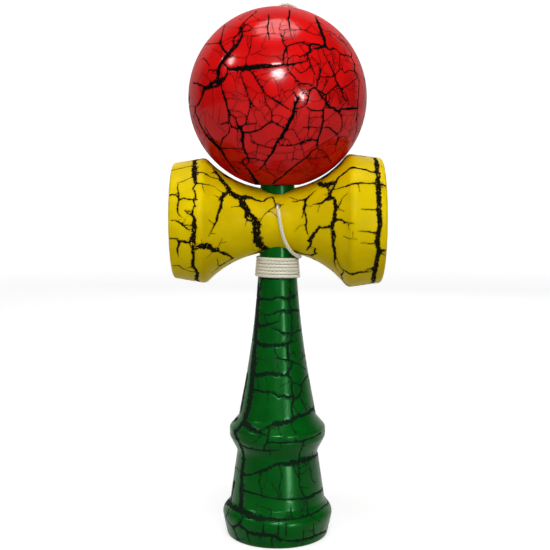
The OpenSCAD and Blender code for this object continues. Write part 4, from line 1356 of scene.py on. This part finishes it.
# Pieces on their bodies
for piece, body, slot, node in (
    (kenHandle, "ken", "green_crackle", "ken"),
    (crossPiece, "ken", "yellow_crackle", "cross_piece"),
    (kenKnot, "ken", "string", "ken_knot"),
    (ball, "tama", "red_crackle", "tama"),
    (bead, "string_end", "bead", "tama_bead"),
    (ballKnot, "string_end", "string", "tama_knot"),
):
    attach(piece, body)
    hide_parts(node)
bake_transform(kendamaString)
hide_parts("string_lead", "string_winding", "string_tail")
print("pieces ride on their bodies")

# Studio: a white sweep behind and under the toy, and soft boxes where the photograph's highlights lie
studioLamps = {
    # degrees to the right of the camera, degrees up, distance and size in metres, power in watts
    "frontFill": (5, 36, 0.5, 0.24, 0.24, 1.45),
    "topFill": (-14, 78, 1.2, 0.7, 0.5, 6),
    "rightFill": (44, 3, 0.6, 0.2, 0.2, 0.66),
    "leftFill": (-48, 3, 0.6, 0.2, 0.2, 0.62),
    "backFill": (172, 24, 0.8, 0.4, 0.4, 2.2),
    "frontSpot": (0.4, 24, 1.3, 0.3, 0.3, 28),
    "leftSpot": (-71, 35.5, 1.3, 0.16, 0.16, 5.4),
    "rightSpot": (30, -4, 1.3, 0.18, 0.26, 14),
    "topSpot": (-11, 89, 1.2, 0.8, 0.75, 17),
}
studio = {
    "world": 0.1,
    "sweepSize": 3.0,  # metres
    "sweepBend": (0.7, 12),  # radius in metres and steps
    "sweepWall": 1.6,  # metres above the bend
    "sweepDrop": 0.00003,  # metres below the toy's foot
    "whiteFrom": (0.3, 0.7),  # how far to the back the air turns white in a reflection
    "sweepColour": (0.36, 0.36, 0.36, 1),
    "sweepGlow": (0.75, 1.0),  # near the toy and far away
    "glowFrom": (0.3, 1.8),  # metres from the toy, for those two
}


def addLamps():
    target = Vector((0, 0, ballZ * mm))
    for name, (right, up, distance, width, height, power) in studioLamps.items():
        right = math.radians(right)
        up = math.radians(up)
        away = Vector((math.sin(right) * math.cos(up), -math.cos(right) * math.cos(up), math.sin(up)))
        bpy.ops.object.select_all(action="DESELECT")
        bpy.ops.object.light_add(
            type="AREA", location=target + away * distance, rotation=away.to_track_quat("Z", "Y").to_euler()
        )
        lamp = bpy.context.object
        lamp.name = name
        lamp.data.shape = "ELLIPSE"
        lamp.data.size = width
        lamp.data.size_y = height
        lamp.data.energy = power
        lamp.visible_glossy = not name.endswith("Fill")  # the fills light the paint, the spots give its gloss
        lamp.visible_diffuse = not name.endswith("Spot")
        lamp.visible_camera = False


def addSweep():
    bpy.ops.object.select_all(action="DESELECT")
    bpy.ops.mesh.primitive_plane_add(size=studio["sweepSize"], location=(0, 0, -studio["sweepDrop"]))
    sweep = bpy.context.object
    sweep.name = "studioSweep"
    bpy.ops.object.mode_set(mode="EDIT")
    bpy.ops.mesh.select_all(action="DESELECT")
    bpy.ops.object.mode_set(mode="OBJECT")
    for edge in sweep.data.edges:
        edge.select = all(sweep.data.vertices[v].co.y > 0 for v in edge.vertices)
    bpy.ops.object.mode_set(mode="EDIT")
    bpy.ops.mesh.select_mode(type="EDGE")
    bend, steps = studio["sweepBend"]
    for k in range(steps):
        a = math.radians(90) * k / steps
        b = math.radians(90) * (k + 1) / steps
        step = (0, bend * (math.sin(b) - math.sin(a)), bend * (math.cos(a) - math.cos(b)))
        bpy.ops.mesh.extrude_region_move(TRANSFORM_OT_translate={"value": step})
    bpy.ops.mesh.extrude_region_move(TRANSFORM_OT_translate={"value": (0, 0, studio["sweepWall"])})
    bpy.ops.object.mode_set(mode="OBJECT")
    sweep.data.shade_smooth()
    material, tree, shader = newMaterial("studioWhite")
    shader.inputs["Base Color"].default_value = studio["sweepColour"]
    shader.inputs["Roughness"].default_value = 0.9
    shader.inputs["Specular IOR Level"].default_value = 0.0
    seen = addNode(tree, "ShaderNodeLightPath")
    seen = math2(
        tree, "MAXIMUM", seen.outputs["Is Camera Ray"],
        math2(tree, "MAXIMUM", seen.outputs["Is Glossy Ray"], seen.outputs["Is Transmission Ray"]),
    )
    place = addNode(tree, "ShaderNodeTexCoord").outputs["Object"]
    away = addNode(tree, "ShaderNodeVectorMath", {0: place}, operation="LENGTH").outputs["Value"]
    near, far = studio["sweepGlow"]
    glow = math2(tree, "MULTIPLY", rampDown(tree, away, *studio["glowFrom"]), near - far)
    glow = math2(tree, "ADD", glow, far)
    shader.inputs["Emission Color"].default_value = (1, 1, 1, 1)
    tree.links.new(math2(tree, "MULTIPLY", seen, glow), shader.inputs["Emission Strength"])
    sweep.data.materials.append(material)


def setWorld():
    world = bpy.data.worlds.new("studioAir")
    bpy.context.scene.world = world
    world.use_nodes = True
    tree = world.node_tree
    sky = tree.nodes["Background"]
    sky.inputs["Color"].default_value = (1, 1, 1, 1)
    seen = addNode(tree, "ShaderNodeLightPath")
    mirrored = math2(tree, "MAXIMUM", seen.outputs["Is Glossy Ray"], seen.outputs["Is Transmission Ray"])
    way = addNode(tree, "ShaderNodeTexCoord").outputs["Generated"]
    way = addNode(tree, "ShaderNodeSeparateXYZ", {0: way})
    front = rampDown(tree, way.outputs["Y"], *studio["whiteFrom"])
    mirrored = math2(tree, "MULTIPLY", mirrored, math2(tree, "SUBTRACT", 1.0, front))
    white = math2(tree, "MAXIMUM", seen.outputs["Is Camera Ray"], mirrored)
    strength = math2(tree, "MAXIMUM", white, studio["world"])
    tree.links.new(strength, sky.inputs["Strength"])


addLamps()
addSweep()
setWorld()
bpy.context.scene.view_settings.view_transform = "Standard"
print("studio set")
